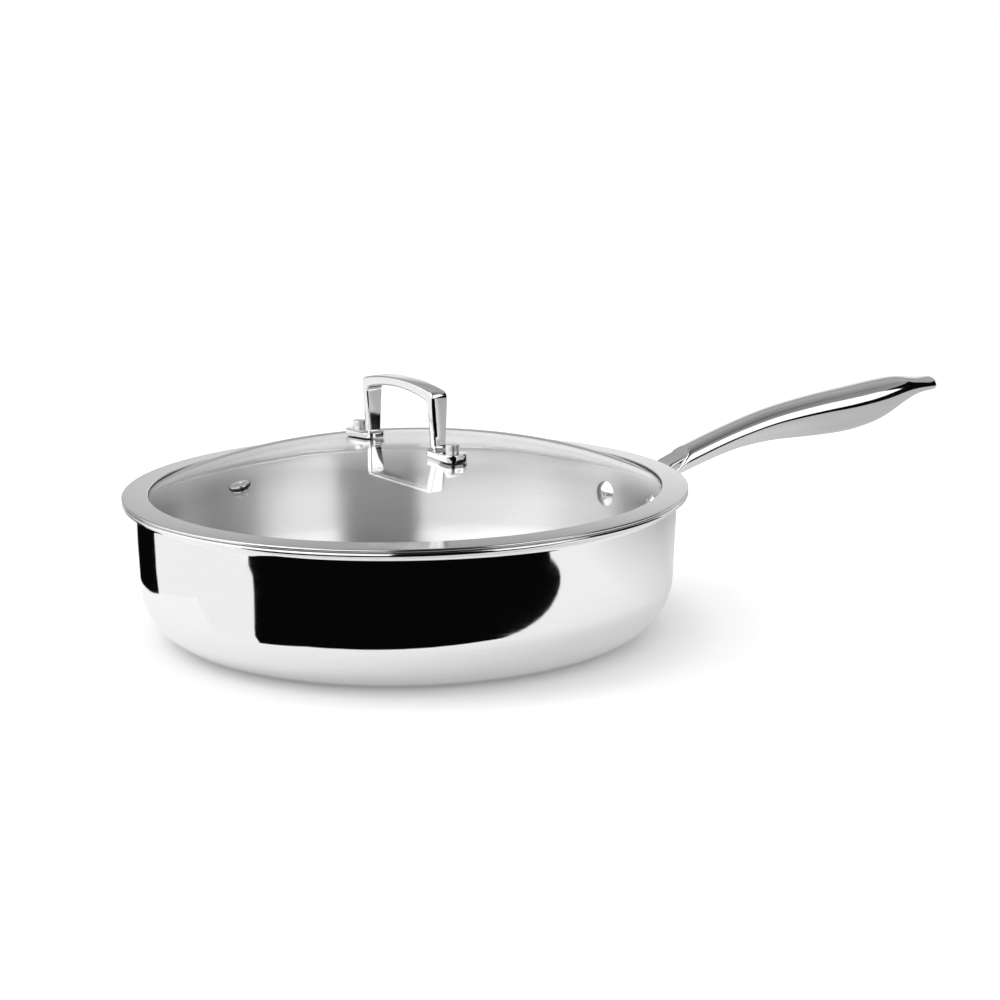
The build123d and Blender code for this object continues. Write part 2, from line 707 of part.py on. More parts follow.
with BuildPart() as vent_eyelet:
    with BuildSketch(vent_plane.offset(vent_washer_thickness)):
        Circle(vent_flange_radius)
    extrude(amount=vent_flange_rise)
    fillet(vent_eyelet.faces().sort_by(Axis.Z)[-1].edges(), vent_flange_round)
    with BuildSketch(vent_plane.offset(vent_washer_thickness)):
        Circle(vent_tube_radius)
    extrude(amount=-vent_washer_thickness - glass_thickness - vent_roll_gap)
    with BuildSketch(vent_plane.offset(-glass_thickness - vent_roll_gap)):
        Circle(vent_roll_radius)
    extrude(amount=-vent_roll_rise)
    with BuildSketch(vent_plane):
        Circle(vent_bore_radius)
    extrude(amount=drill_reach, both=True, mode=Mode.SUBTRACT)

# Single pieces, each written under its own name
outer_shell.part.label = "outer_shell"
export_step(outer_shell.part, "parts/outer_shell.step")
aluminium_core.part.label = "aluminium_core"
export_step(aluminium_core.part, "parts/aluminium_core.step")
inner_lining.part.label = "inner_lining"
export_step(inner_lining.part, "parts/inner_lining.step")
handle_bracket.part.label = "handle_bracket"
export_step(handle_bracket.part, "parts/handle_bracket.step")
handle_grip.part.label = "handle_grip"
export_step(handle_grip.part, "parts/handle_grip.step")
lid_glass.part.label = "lid_glass"
export_step(lid_glass.part, "parts/lid_glass.step")
lid_band.part.label = "lid_band"
export_step(lid_band.part, "parts/lid_band.step")
glass_seal.part.label = "glass_seal"
export_step(glass_seal.part, "parts/glass_seal.step")
lid_handle.part.label = "lid_handle"
export_step(lid_handle.part, "parts/lid_handle.step")
vent_washer.part.label = "vent_washer"
export_step(vent_washer.part, "parts/vent_washer.step")
vent_eyelet.part.label = "vent_eyelet"
export_step(vent_eyelet.part, "parts/vent_eyelet.step")

# Repeated pieces, one file for each place
for side_name, rivet_part in rivets.items():
    rivet_part.label = "rivet_" + side_name
    export_step(rivet_part, "parts/rivet_" + side_name + ".step")
fixings = {
    "post_nut": post_nuts,
    "foot_gasket": foot_gaskets,
    "glass_pad": glass_pads,
    "steel_washer": steel_washers,
    "clamp_screw": clamp_screws,
}
for fixing_name, fixing_parts in fixings.items():
    for side_name, fixing_part in fixing_parts.items():
        fixing_part.label = fixing_name + "_" + side_name
        export_step(fixing_part, "parts/" + fixing_name + "_" + side_name + ".step")
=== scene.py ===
import math

import bmesh
import bpy
from mathutils import Matrix, Vector


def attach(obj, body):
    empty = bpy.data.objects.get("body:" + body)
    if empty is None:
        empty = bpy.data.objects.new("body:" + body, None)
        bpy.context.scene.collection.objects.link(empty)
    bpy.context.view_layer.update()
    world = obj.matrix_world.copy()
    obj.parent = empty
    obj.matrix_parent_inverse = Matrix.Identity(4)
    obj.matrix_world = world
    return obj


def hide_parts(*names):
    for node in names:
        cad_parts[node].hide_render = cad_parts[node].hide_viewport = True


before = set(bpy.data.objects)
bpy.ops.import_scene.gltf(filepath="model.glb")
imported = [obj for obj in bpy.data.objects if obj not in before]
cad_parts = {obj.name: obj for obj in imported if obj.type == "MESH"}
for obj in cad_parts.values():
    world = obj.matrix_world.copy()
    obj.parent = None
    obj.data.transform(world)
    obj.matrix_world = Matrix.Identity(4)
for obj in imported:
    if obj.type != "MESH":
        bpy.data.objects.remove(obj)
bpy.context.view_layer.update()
mm = 0.001


# Outer skin of the pan: one pressed and spun sheet of stainless steel, 0.6 mm thick.
# It is buffed to a mirror outside, and its edge is rolled thick round the rim to seal the layers.
pan_height = 75.3
lip_radius = 149.996
lip_flat = 0.7
clad_thickness = 2.6
outer_steel = 0.6
core_inset = 2.1
wall_draft = 3.0
corner_radius = 30.0
flare_radius = 4.0
nose_radius = clad_thickness / 2
nose_centre_r = lip_radius - nose_radius
flare_centre_r = nose_centre_r - lip_flat
flare_centre_z = pan_height - clad_thickness - flare_radius
draft_sin = math.sin(math.radians(wall_draft))
draft_cos = math.cos(math.radians(wall_draft))
draft_tan = math.tan(math.radians(wall_draft))
wall_radius = flare_centre_r - flare_radius * draft_cos
wall_top_z = flare_centre_z + flare_radius * draft_sin
corner_top_z = corner_radius * (1 - draft_sin)
corner_centre_r = wall_radius - (wall_top_z - corner_top_z) * draft_tan - corner_radius * draft_cos
corner_steps = 22
flare_steps = 12
nose_steps = 16
rim_steps = 200
weld_distance = 0.002


# A section is drawn in the XZ plane: a straight run to a point, or an arc about a centre
def run_to(bm, end, radius, height):
    point = bm.verts.new((radius * mm, 0, height * mm))
    bm.edges.new((end, point))
    return point


def arc_about(bm, end, radius, height, turn, steps):
    made = bmesh.ops.spin(
        bm, geom=[end], cent=(radius * mm, 0, height * mm), axis=(0, -1, 0), dvec=(0, 0, 0),
        angle=math.radians(turn), steps=steps, use_merge=False, use_duplicate=False)
    return next(g for g in made["geom_last"] if isinstance(g, bmesh.types.BMVert))


def turn_section(bm, steps):
    bmesh.ops.spin(
        bm, geom=bm.verts[:] + bm.edges[:], cent=(0, 0, 0), axis=(0, 0, 1), dvec=(0, 0, 0),
        angle=math.tau, steps=steps, use_merge=True, use_duplicate=False)
    bmesh.ops.remove_doubles(bm, verts=bm.verts[:], dist=weld_distance * mm)
    bmesh.ops.recalc_face_normals(bm, faces=bm.faces[:])


# Wall side of one layer, drawn from the base up to the lip, or back down from it
def layer_up(bm, end, inset):
    end = run_to(bm, end, corner_centre_r, inset)
    end = arc_about(bm, end, corner_centre_r, corner_radius, 90 - wall_draft, corner_steps)
    flare = flare_radius + inset
    end = run_to(bm, end, flare_centre_r - flare * draft_cos, flare_centre_z + flare * draft_sin)
    return arc_about(bm, end, flare_centre_r, flare_centre_z, wall_draft - 90, flare_steps)


def layer_down(bm, end, inset):
    bend = corner_radius - inset
    end = arc_about(bm, end, flare_centre_r, flare_centre_z, 90 - wall_draft, flare_steps)
    end = run_to(bm, end, corner_centre_r + bend * draft_cos, corner_radius - bend * draft_sin)
    end = arc_about(bm, end, corner_centre_r, corner_radius, wall_draft - 90, corner_steps)
    return run_to(bm, end, 0, inset)


# An object sits at the origin, with its place in its mesh
def linked_object(name, bm):
    mesh = bpy.data.meshes.new(name)
    bm.to_mesh(mesh)
    bm.free()
    thing = bpy.data.objects.new(name, mesh)
    bpy.context.scene.collection.objects.link(thing)
    return thing


# A finished piece shades smoothly over soft bends, rides on its body and stands for its CAD node
def finished(bm, name, material, body, nodes, smooth_angle=38):
    piece = linked_object(name, bm)
    for face in piece.data.polygons:
        face.use_smooth = True
    piece.data.set_sharp_from_angle(angle=math.radians(smooth_angle))
    piece.data.materials.append(material)
    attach(piece, body)
    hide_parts(*nodes)
    return piece


def linear(code):
    parts = [int(code[i:i + 2], 16) / 255 for i in (1, 3, 5)]
    return [c / 12.92 if c <= 0.04045 else ((c + 0.055) / 1.055) ** 2.4 for c in parts] + [1.0]


def add_node(tree, kind, settings=None, inputs=None):
    node = tree.nodes.new(kind)
    for key, value in (settings or {}).items():
        setattr(node, key, value)
    for key, value in (inputs or {}).items():
        if isinstance(value, bpy.types.NodeSocket):
            tree.links.new(value, node.inputs[key])
        else:
            node.inputs[key].default_value = value
    return node


def new_material(name):
    material = bpy.data.materials.new(name)
    material.use_nodes = True
    material.node_tree.nodes.clear()
    return material, material.node_tree


def shade(tree, surface):
    add_node(tree, "ShaderNodeOutputMaterial", None, {"Surface": surface.outputs[0]})


# Grain of a turned piece: lines that run round the Z axis, with their spacing and their run in millimetres.
# Real lines lie some hundredths of a millimetre apart, and are drawn coarser so that they show
def turned_grain(tree, spacing, run):
    place = add_node(tree, "ShaderNodeTexCoord")
    split = add_node(tree, "ShaderNodeSeparateXYZ", None, {0: place.outputs["Object"]})
    flat = add_node(tree, "ShaderNodeCombineXYZ", None, {"X": split.outputs[0], "Y": split.outputs[1]})
    reach = add_node(tree, "ShaderNodeVectorMath", {"operation": "LENGTH"}, {0: flat.outputs[0]})
    across = add_node(tree, "ShaderNodeMath", {"operation": "ADD"},
                      {0: reach.outputs["Value"], 1: split.outputs[2]})
    across = add_node(tree, "ShaderNodeMath", {"operation": "MULTIPLY"},
                      {0: across.outputs[0], 1: 1 / (spacing * mm)})
    along = add_node(tree, "ShaderNodeVectorMath", {"operation": "SCALE"},
                     {0: flat.outputs[0], "Scale": 1 / (run * mm)})
    ends = add_node(tree, "ShaderNodeSeparateXYZ", None, {0: along.outputs[0]})
    grid = add_node(tree, "ShaderNodeCombineXYZ", None,
                    {"X": ends.outputs[0], "Y": ends.outputs[1], "Z": across.outputs[0]})
    grain = add_node(tree, "ShaderNodeTexNoise", None,
                     {"Vector": grid.outputs[0], "Scale": 1.0, "Detail": 3.0, "Roughness": 0.6})
    turn = add_node(tree, "ShaderNodeVectorMath", {"operation": "CROSS_PRODUCT"},
                    {0: (0, 0, 1), 1: flat.outputs[0]})
    round_way = add_node(tree, "ShaderNodeVectorMath", {"operation": "NORMALIZE"}, {0: turn.outputs[0]})
    return grain, round_way


# The grain moves the colour and the roughness between two limits each, and may lift the surface by a
# strength and a depth in millimetres. Most of a noise lies between 0.3 and 0.7, so that part is spread out
def grained_surface(tree, grain, colours, roughness, lift=None, settings=None):
    shift = grain.outputs["Fac"]
    tint = add_node(tree, "ShaderNodeMix", {"data_type": "RGBA"},
                    {"Factor": shift, "A": linear(colours[0]), "B": linear(colours[1])})
    rough = add_node(tree, "ShaderNodeMapRange", None, {
        "Value": shift, "From Min": 0.3, "From Max": 0.7, "To Min": roughness[0], "To Max": roughness[1]})
    inputs = {"Base Color": tint.outputs["Result"], "Roughness": rough.outputs[0], **(settings or {})}
    if lift:
        raised = add_node(tree, "ShaderNodeBump", None,
                          {"Strength": lift[0], "Distance": lift[1] * mm, "Height": shift})
        inputs["Normal"] = raised.outputs[0]
    shade(tree, add_node(tree, "ShaderNodeBsdfPrincipled", None, inputs))


# Mirror-buffed stainless steel: reflections stay sharp, with faint polishing lines round the pan
mirror_steel, tree = new_material("mirror_buffed_steel")
grain, round_way = turned_grain(tree, spacing=0.55, run=60)
grained_surface(tree, grain, colours=("#eeeeee", "#f8f8f8"), roughness=(0.035, 0.075), lift=(0.005, 0.2),
                settings={"Metallic": 1.0})

bm = bmesh.new()
end = bm.verts.new((0, 0, 0))
end = layer_up(bm, end, 0)
end = run_to(bm, end, nose_centre_r, pan_height - clad_thickness)
end = arc_about(bm, end, nose_centre_r, pan_height - nose_radius, 180, nose_steps)
end = run_to(bm, end, nose_centre_r, pan_height - clad_thickness + outer_steel)
end = run_to(bm, end, flare_centre_r, pan_height - clad_thickness + outer_steel)
end = layer_down(bm, end, outer_steel)
turn_section(bm, rim_steps)
outer_skin = finished(bm, "outer_skin", mirror_steel, "pan", ["outer_shell"])
outer_skin.modifiers.new("even_wall", "WEIGHTED_NORMAL").keep_sharp = True


# Core of the pan: a 1.5 mm sheet of aluminium, pressed with the skins and hidden between them.
# Its CAD node is right as it is, and only gets the even grey shine of plain rolled sheet.
rolled_aluminium, tree = new_material("rolled_aluminium")
grain, round_way = turned_grain(tree, spacing=0.8, run=40)
grained_surface(tree, grain, colours=("#d6d8da", "#e8e9eb"), roughness=(0.34, 0.5),
                settings={"Metallic": 1.0})
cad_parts["aluminium_core"].data.materials.clear()
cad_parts["aluminium_core"].data.materials.append(rolled_aluminium)


# Lining of the pan: 0.5 mm of stainless steel, the surface that food touches.
# It is brushed round and round on a lathe, so its shine spreads out across the lines.
brushed_steel, tree = new_material("lathe_brushed_steel")
grain, round_way = turned_grain(tree, spacing=0.6, run=90)
grained_surface(tree, grain, colours=("#cacaca", "#e2e2e2"), roughness=(0.33, 0.41), lift=(0.02, 0.2),
                settings={"Metallic": 1.0, "Anisotropic": 1.0, "Anisotropic Rotation": 0.25,
                          "Tangent": round_way.outputs[0]})

bm = bmesh.new()
end = bm.verts.new((0, 0, core_inset * mm))
end = layer_up(bm, end, core_inset)
end = run_to(bm, end, nose_centre_r, flare_centre_z + flare_radius + core_inset)
end = run_to(bm, end, nose_centre_r, pan_height)
end = run_to(bm, end, flare_centre_r, pan_height)
end = layer_down(bm, end, clad_thickness)
turn_section(bm, rim_steps)
finished(bm, "brushed_lining", brushed_steel, "pan", ["inner_lining"])


# Bracket of the long handle: cast steel, riveted to the wall below the rim.
# Its strap rises clear of the rim and runs up into the neck of the grip.
belt_lines_per_mm = 0.9
belt_runs_per_mm = 0.04
bracket_smooth_angle = 30

# Polished cast steel: nearly a mirror, with faint lines along the handle from the polishing belt.
# They are drawn about 1 mm apart and 25 mm long, since real ones are too fine to show
cast_steel, tree = new_material("polished_cast_steel")
place = add_node(tree, "ShaderNodeTexCoord")
stretch = add_node(tree, "ShaderNodeMapping", None, {
    "Vector": place.outputs["Object"],
    "Scale": (belt_runs_per_mm / mm, belt_lines_per_mm / mm, belt_lines_per_mm / mm)})
grain = add_node(tree, "ShaderNodeTexNoise", None,
                 {"Vector": stretch.outputs[0], "Scale": 1.0, "Detail": 3.0, "Roughness": 0.6})
grained_surface(tree, grain, colours=("#ececec", "#f6f6f6"), roughness=(0.04, 0.08), lift=(0.012, 0.2),
                settings={"Metallic": 1.0})

# A CAD mesh is loose triangles, so a copy is merged before it can shade smoothly
bm = bmesh.new()
bm.from_mesh(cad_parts["handle_bracket"].data)
bmesh.ops.remove_doubles(bm, verts=bm.verts[:], dist=weld_distance / 2 * mm)
finished(bm, "riveted_bracket", cast_steel, "pan", ["handle_bracket"], bracket_smooth_angle)


# Grip: two pressed steel shells welded into one hollow handle and ground flush.
# A crease runs along each side of its crowned top, and a softer seam above the rounded belly.
grip_reach = [26.0, 54.0, 81.0, 112.0, 141.0, 162.0, 176.0, 185.0, 191.5, 200.0]
grip_crown = [4.5, 13.3, 20.5, 25.7, 28.9, 31.1, 31.7, 30.4, 29.7, 29.7]
grip_top_half = [8.6, 8.4, 8.6, 9.4, 10.2, 10.4, 9.8, 8.9, 8.6, 8.4]
grip_seam_half = [9.6, 9.8, 10.8, 12.4, 13.6, 13.4, 11.8, 10.2, 9.6, 9.2]
grip_side_drop = [5.6, 6.2, 7.2, 8.8, 9.8, 9.0, 6.8, 4.8, 4.0, 4.0]
grip_belly_drop = [5.4, 7.2, 10.4, 14.2, 15.4, 13.4, 8.8, 5.2, 3.8, 3.3]
grip_arch = 0.8
grip_mouth = grip_reach[0]
grip_tip = grip_reach[-1]
grip_stations = [27.2, 31, 35, 39, 45, 52, 60, 68, 76, 84, 92, 101, 110, 119, 128, 136, 144, 152, 159, 165,
                 171, 176, 181, 186, 191, 195.4]
grip_smooth_angle = 50

# Shares of the section: where its crease lies, how the flat arc falls to it, and how the side bows out below
crease_across = 0.9
crease_down = 0.2
top_arc = [(0.36, 0.12), (0.7, 0.46), (1.0, 1.0)]
side_bow = [(0.43, 0.21), (0.74, 0.43), (0.92, 0.66), (1.0, 0.86), (1.0, 1.0)]
belly_turns = [22, 45, 68]

mouth_slant = 17.0
mouth_slant_length = 34
mouth_slant_fade = 1.5
mouth_width_share = 0.9
mouth_squeeze = 0.08
neck_slope = 0.4
tip_corner_radius = 4.0
tip_turns = [(24, 0.0), (46, 0.02), (66, 0.08), (90, 0.2)]
tip_end_share = 0.3
tip_end_squeeze = 0.6


# Value of a grip list at any reach, on a smooth cubic curve through its stations
def along_grip(sizes, reach):
    def slope(k):
        low = min(max(k, 1), len(sizes) - 2)
        before, after = grip_reach[low] - grip_reach[low - 1], grip_reach[low + 1] - grip_reach[low]
        rise = (sizes[low] - sizes[low - 1]) / before, (sizes[low + 1] - sizes[low]) / after
        if k == 0:
            return rise[0]
        if k == len(sizes) - 1:
            return rise[1]
        return (rise[0] * after + rise[1] * before) / (before + after)

    k = max(k for k in range(len(sizes) - 1) if grip_reach[k] <= reach)
    span = grip_reach[k + 1] - grip_reach[k]
    part = (reach - grip_reach[k]) / span
    blend = part ** 2 * (3 - 2 * part)
    return (sizes[k] * (1 - blend) + sizes[k + 1] * blend
            + part * (1 - part) ** 2 * span * slope(k) - part ** 2 * (1 - part) * span * slope(k + 1))


def closed_ring(bm, places):
    ring = [bm.verts.new((x * mm, y * mm, z * mm)) for x, y, z in places]
    return [bm.edges.new((ring[i - 1], ring[i])) for i in range(len(ring))]


def skin_rings(bm, rings):
    for first, second in zip(rings, rings[1:]):
        bmesh.ops.bridge_loops(bm, edges=first + second)


# The section is a flat arc over the top, a tight bend, a bowed side down to the seam, and the belly.
# Near the mouth it leans, so that the lower shell runs further down the strap than the upper one
def grip_ring(bm, reach, width_share=1.0, squeeze=0.0):
    crown_z = pan_height + along_grip(grip_crown, reach)
    top, seam = along_grip(grip_top_half, reach), along_grip(grip_seam_half, reach)
    side, belly = along_grip(grip_side_drop, reach), along_grip(grip_belly_drop, reach)
    slant = mouth_slant * max(0.0, 1 - (reach - grip_mouth) / mouth_slant_length) ** mouth_slant_fade
    crease_y, crease_drop = top * crease_across, top * crease_down
    seam_z = crown_z - grip_arch - side
    out, down = seam - crease_y, crown_z - crease_drop - seam_z
    half = [(crease_y * share, crown_z - crease_drop * drop) for share, drop in top_arc]
    half += [(crease_y + out * share, crown_z - crease_drop - down * drop) for share, drop in side_bow]
    half += [(seam * math.cos(math.radians(turn)), seam_z - belly * math.sin(math.radians(turn)))
             for turn in belly_turns]
    outline = [(0, crown_z)] + half + [(0, seam_z - belly)] + [(-y, z) for y, z in reversed(half)]
    height = side + belly + grip_arch
    middle = crown_z - height / 2
    places = []
    for y, z in outline:
        lean = slant * (crown_z - z) / height
        places.append((lip_radius + reach - lean, y * width_share,
                       middle + (z - middle) * (1 - squeeze) - neck_slope * lean))
    return closed_ring(bm, places)


bm = bmesh.new()
rings = [grip_ring(bm, grip_mouth, mouth_width_share, mouth_squeeze)]
rings += [grip_ring(bm, reach) for reach in grip_stations]
for turn, squeeze in tip_turns:
    bend = math.radians(turn)
    rings.append(grip_ring(bm, grip_tip - tip_corner_radius * (1 - math.sin(bend)),
                           1 - tip_corner_radius * (1 - math.cos(bend)) / grip_seam_half[-1], squeeze))
rings.append(grip_ring(bm, grip_tip, tip_end_share, tip_end_squeeze))
skin_rings(bm, rings)
for ring in (rings[0], rings[-1]):
    bmesh.ops.contextual_create(bm, geom=ring)
bmesh.ops.recalc_face_normals(bm, faces=bm.faces[:])

# The two crease lines are the edges along the grip that bend by more than 12 degrees just below its crown
crease_least_angle = 12
crease_from, crease_to = 1.2, 2.6
crease_sharpness = 0.8
along_least = 0.05


def sharp_edges(bm, least_angle):
    return [e for e in bm.edges
            if len(e.link_faces) == 2 and e.calc_face_angle(0) > math.radians(least_angle)]


crease = bm.edges.layers.float.new("crease_edge")
for edge in sharp_edges(bm, crease_least_angle):
    a, b = edge.verts
    reach = min(max(a.co.x / mm - lip_radius, grip_mouth), grip_tip)
    below_crown = pan_height + along_grip(grip_crown, reach) - a.co.z / mm
    if abs(a.co.x - b.co.x) > along_least * mm and crease_from < below_crown < crease_to:
        edge[crease] = crease_sharpness
cage = linked_object("grip_cage", bm)
soften = cage.modifiers.new("soften", "SUBSURF")
soften.levels = 3
soften.render_levels = 3

# The hanging slot is punched through the flattened end, and its rim is rounded
slot_width = 8.6
slot_length = 11.0
slot_x = lip_radius + grip_tip - 8.5
slot_reach_x, slot_reach_y = 6, 5
punch_height = 60
punch_steps = 40
slot_least_angle = 60
slot_rounding = 0.5
bm = bmesh.new()
for end_x in (-1, 1):
    shift = end_x * (slot_length - slot_width) / 2
    bmesh.ops.create_circle(bm, segments=punch_steps, radius=slot_width / 2 * mm,
                            matrix=Matrix.Translation(((slot_x + shift) * mm, 0, pan_height * mm)))
bmesh.ops.convex_hull(bm, input=bm.verts[:])
bmesh.ops.delete(bm, geom=[v for v in bm.verts if not v.link_faces], context="VERTS")
raised = bmesh.ops.extrude_face_region(bm, geom=bm.faces[:])["geom"]
bmesh.ops.translate(bm, vec=(0, 0, punch_height * mm),
                    verts=[v for v in raised if isinstance(v, bmesh.types.BMVert)])
bmesh.ops.recalc_face_normals(bm, faces=bm.faces[:])
punch = linked_object("slot_punch", bm)
cut = cage.modifiers.new("hanging_slot", "BOOLEAN")
cut.operation = "DIFFERENCE"
cut.solver = "EXACT"
cut.object = punch
bpy.context.view_layer.update()
bm = bmesh.new()
bm.from_mesh(bpy.data.meshes.new_from_object(cage.evaluated_get(bpy.context.evaluated_depsgraph_get())))
for spare in (cage, punch):
    bpy.data.objects.remove(spare)


def round_edges(bm, edges, radius, segments, clamp=True):
    bmesh.ops.bevel(bm, geom=edges, offset=radius * mm, offset_type="OFFSET", segments=segments, profile=0.5,
                    affect="EDGES", material=-1, clamp_overlap=clamp)


slot_rim = [e for e in sharp_edges(bm, slot_least_angle)
            if abs(e.verts[0].co.x / mm - slot_x) < slot_reach_x and abs(e.verts[0].co.y / mm) < slot_reach_y]
round_edges(bm, slot_rim, slot_rounding, 3)
finished(bm, "hollow_grip", cast_steel, "pan", ["handle_grip"], grip_smooth_angle)


# Rivets: solid steel, with a polished dome inside the pan and a low tail outside the flange.
# Each is set through a hole in the wall and the flange, one each side of the handle.
rivet_z = 53.3
rivet_half_angle = 9.8
rivet_shank_radius = 3.0
rivet_head_radius = 7.2
rivet_head_rise = 2.4
rivet_head_undercut = 0.3
rivet_head_lift = 0.25
rivet_tail_radius = 5.2
rivet_tail_rise = 1.6
rivet_steps = 48
flange_thickness = 3.0


def dome_half(radius, rise):
    ball = (radius ** 2 + rise ** 2) / (2 * rise)
    return ball, math.degrees(math.asin(radius / ball))


wall_r = wall_radius - (wall_top_z - rivet_z) * draft_tan
head_base = -clad_thickness - rivet_head_radius ** 2 / (2 * (wall_r - clad_thickness))
for side_name, side in {"left": 1, "right": -1}.items():
    bm = bmesh.new()
    ball, half_turn = dome_half(rivet_head_radius, rivet_head_rise)
    end = bm.verts.new((0, 0, (head_base - rivet_head_rise) * mm))
    end = arc_about(bm, end, 0, head_base - rivet_head_rise + ball, half_turn, 14)
    end = run_to(bm, end, rivet_head_radius - rivet_head_undercut, head_base + rivet_head_lift)
    end = run_to(bm, end, rivet_shank_radius, head_base + rivet_head_lift)
    end = run_to(bm, end, rivet_shank_radius, flange_thickness)
    end = run_to(bm, end, rivet_tail_radius, flange_thickness)
    ball, half_turn = dome_half(rivet_tail_radius, rivet_tail_rise)
    end = arc_about(bm, end, 0, flange_thickness + rivet_tail_rise - ball, half_turn, 10)
    turn_section(bm, rivet_steps)
    lean = Matrix.Rotation(math.radians(90 + wall_draft), 4, "Y")
    turn = Matrix.Rotation(math.radians(side * rivet_half_angle), 4, "Z")
    shift = Matrix.Translation((wall_r * mm, 0, rivet_z * mm))
    bmesh.ops.transform(bm, matrix=turn @ shift @ lean, verts=bm.verts[:])
    finished(bm, "rivet_dome_" + side_name, mirror_steel, "pan", ["rivet_" + side_name])


# Lid glass: a tempered disc, 4 mm thick, slumped over a mould into a shallow dome.
# Its edge turns down more steeply and is held in the steel band, whose web and seal set its size.
glass_thickness = 4.0
dome_radius = 680.0
dome_break_r = 55.0
shoulder_radius = 258.0
lid_rest = 0.2
band_sheet = 0.7
band_clearance = 1.3
band_inner_rise = 2.1
seal_side = 0.8
seal_top = 1.4
seat_z = pan_height + lid_rest
band_web_r = wall_radius - clad_thickness - band_clearance
band_inner_z = seat_z + band_inner_rise
glass_edge_r = band_web_r - band_sheet - seal_side
glass_edge_z = band_inner_z - band_sheet - seal_top
dome_turn = math.asin(dome_break_r / dome_radius)
shoulder_centre_r = (dome_radius - shoulder_radius) * math.sin(dome_turn)
edge_turn = math.asin((glass_edge_r - shoulder_centre_r) / shoulder_radius)
shoulder_centre_z = glass_edge_z - shoulder_radius * math.cos(edge_turn)
dome_centre_z = shoulder_centre_z - (dome_radius - shoulder_radius) * math.cos(dome_turn)
glass_apex_z = dome_centre_z + dome_radius
shoulder_inner = shoulder_radius - glass_thickness
glass_low_edge_r = shoulder_centre_r + shoulder_inner * math.sin(edge_turn)
glass_low_edge_z = shoulder_centre_z + shoulder_inner * math.cos(edge_turn)
dome_deg = math.degrees(dome_turn)
shoulder_deg = math.degrees(edge_turn - dome_turn)
dome_steps = 10
shoulder_steps = 26
mould_waves_per_m = 14


def glass_z(radius):
    if radius < dome_break_r:
        return dome_centre_z + math.sqrt(dome_radius ** 2 - radius ** 2)
    return shoulder_centre_z + math.sqrt(shoulder_radius ** 2 - (radius - shoulder_centre_r) ** 2)


# Clear soda-lime glass: it bends light and mirrors at a low angle, and lamps shine through it.
# The mould leaves faint waves, some 70 mm wide, that bend a reflection a little
clear_glass, tree = new_material("clear_tempered_glass")
place = add_node(tree, "ShaderNodeTexCoord")
wave = add_node(tree, "ShaderNodeTexNoise", None,
                {"Vector": place.outputs["Object"], "Scale": mould_waves_per_m, "Detail": 1.0})
ripple = add_node(tree, "ShaderNodeBump", None,
                  {"Strength": 0.02, "Distance": 0.5 * mm, "Height": wave.outputs["Fac"]})
body = add_node(tree, "ShaderNodeBsdfPrincipled", None, {
    "Base Color": linear("#fdfdfd"), "Roughness": 0.0, "IOR": 1.52, "Transmission Weight": 1.0,
    "Normal": ripple.outputs[0]})
through = add_node(tree, "ShaderNodeBsdfTransparent", None, {"Color": linear("#f6f6f6")})
path = add_node(tree, "ShaderNodeLightPath")
mixed = add_node(tree, "ShaderNodeMixShader", None,
                 {0: path.outputs["Is Shadow Ray"], 1: body.outputs[0], 2: through.outputs[0]})
shade(tree, mixed)

bm = bmesh.new()
end = bm.verts.new((0, 0, glass_apex_z * mm))
end = arc_about(bm, end, 0, dome_centre_z, -dome_deg, dome_steps)
end = arc_about(bm, end, shoulder_centre_r, shoulder_centre_z, -shoulder_deg, shoulder_steps)
end = run_to(bm, end, glass_low_edge_r, glass_low_edge_z)
end = arc_about(bm, end, shoulder_centre_r, shoulder_centre_z, shoulder_deg, shoulder_steps)
end = arc_about(bm, end, 0, dome_centre_z, dome_deg, dome_steps)
turn_section(bm, rim_steps)
finished(bm, "domed_glass", clear_glass, "lid", ["lid_glass"])


# Rim band: a strip of stainless steel rolled round the glass's edge, finished satin.
# Its outer edge is folded under to rest on the pan's lip, and its web drops inside the wall.
band_nose_radius = 0.75
band_nose_r = lip_radius - band_nose_radius
band_nose_steps = 14
band_outer_z = seat_z + 2 * band_nose_radius
band_hem_z = seat_z - 5.5
band_inner_r = band_web_r - 3.9
band_lip_r = band_web_r - 3.3
edge_roll = 0.3

# Satin steel: very fine lines round the band soften its reflections without hiding them
satin_steel, tree = new_material("satin_rolled_steel")
grain, round_way = turned_grain(tree, spacing=0.35, run=30)
grained_surface(tree, grain, colours=("#e0e0e0", "#ececec"), roughness=(0.14, 0.17), lift=(0.006, 0.15),
                settings={"Metallic": 1.0, "Anisotropic": 0.25, "Anisotropic Rotation": 0.25,
                          "Tangent": round_way.outputs[0]})

bm = bmesh.new()
start = bm.verts.new(((band_inner_r + edge_roll) * mm, 0, band_inner_z * mm))
end = run_to(bm, start, band_nose_r, band_outer_z)
end = arc_about(bm, end, band_nose_r, seat_z + band_nose_radius, -180, band_nose_steps)
for radius, height in (
        (band_web_r, seat_z), (band_web_r, band_hem_z + edge_roll), (band_web_r - edge_roll, band_hem_z),
        (band_lip_r, band_hem_z), (band_lip_r, band_hem_z + band_sheet),
        (band_web_r - band_sheet, band_hem_z + band_sheet),
        (band_web_r - band_sheet, band_inner_z - band_sheet),
        (band_inner_r, band_inner_z - band_sheet), (band_inner_r, band_inner_z - edge_roll)):
    end = run_to(bm, end, radius, height)
bm.edges.new((end, start))
turn_section(bm, rim_steps)
finished(bm, "rolled_rim_band", satin_steel, "lid", ["lid_band"])


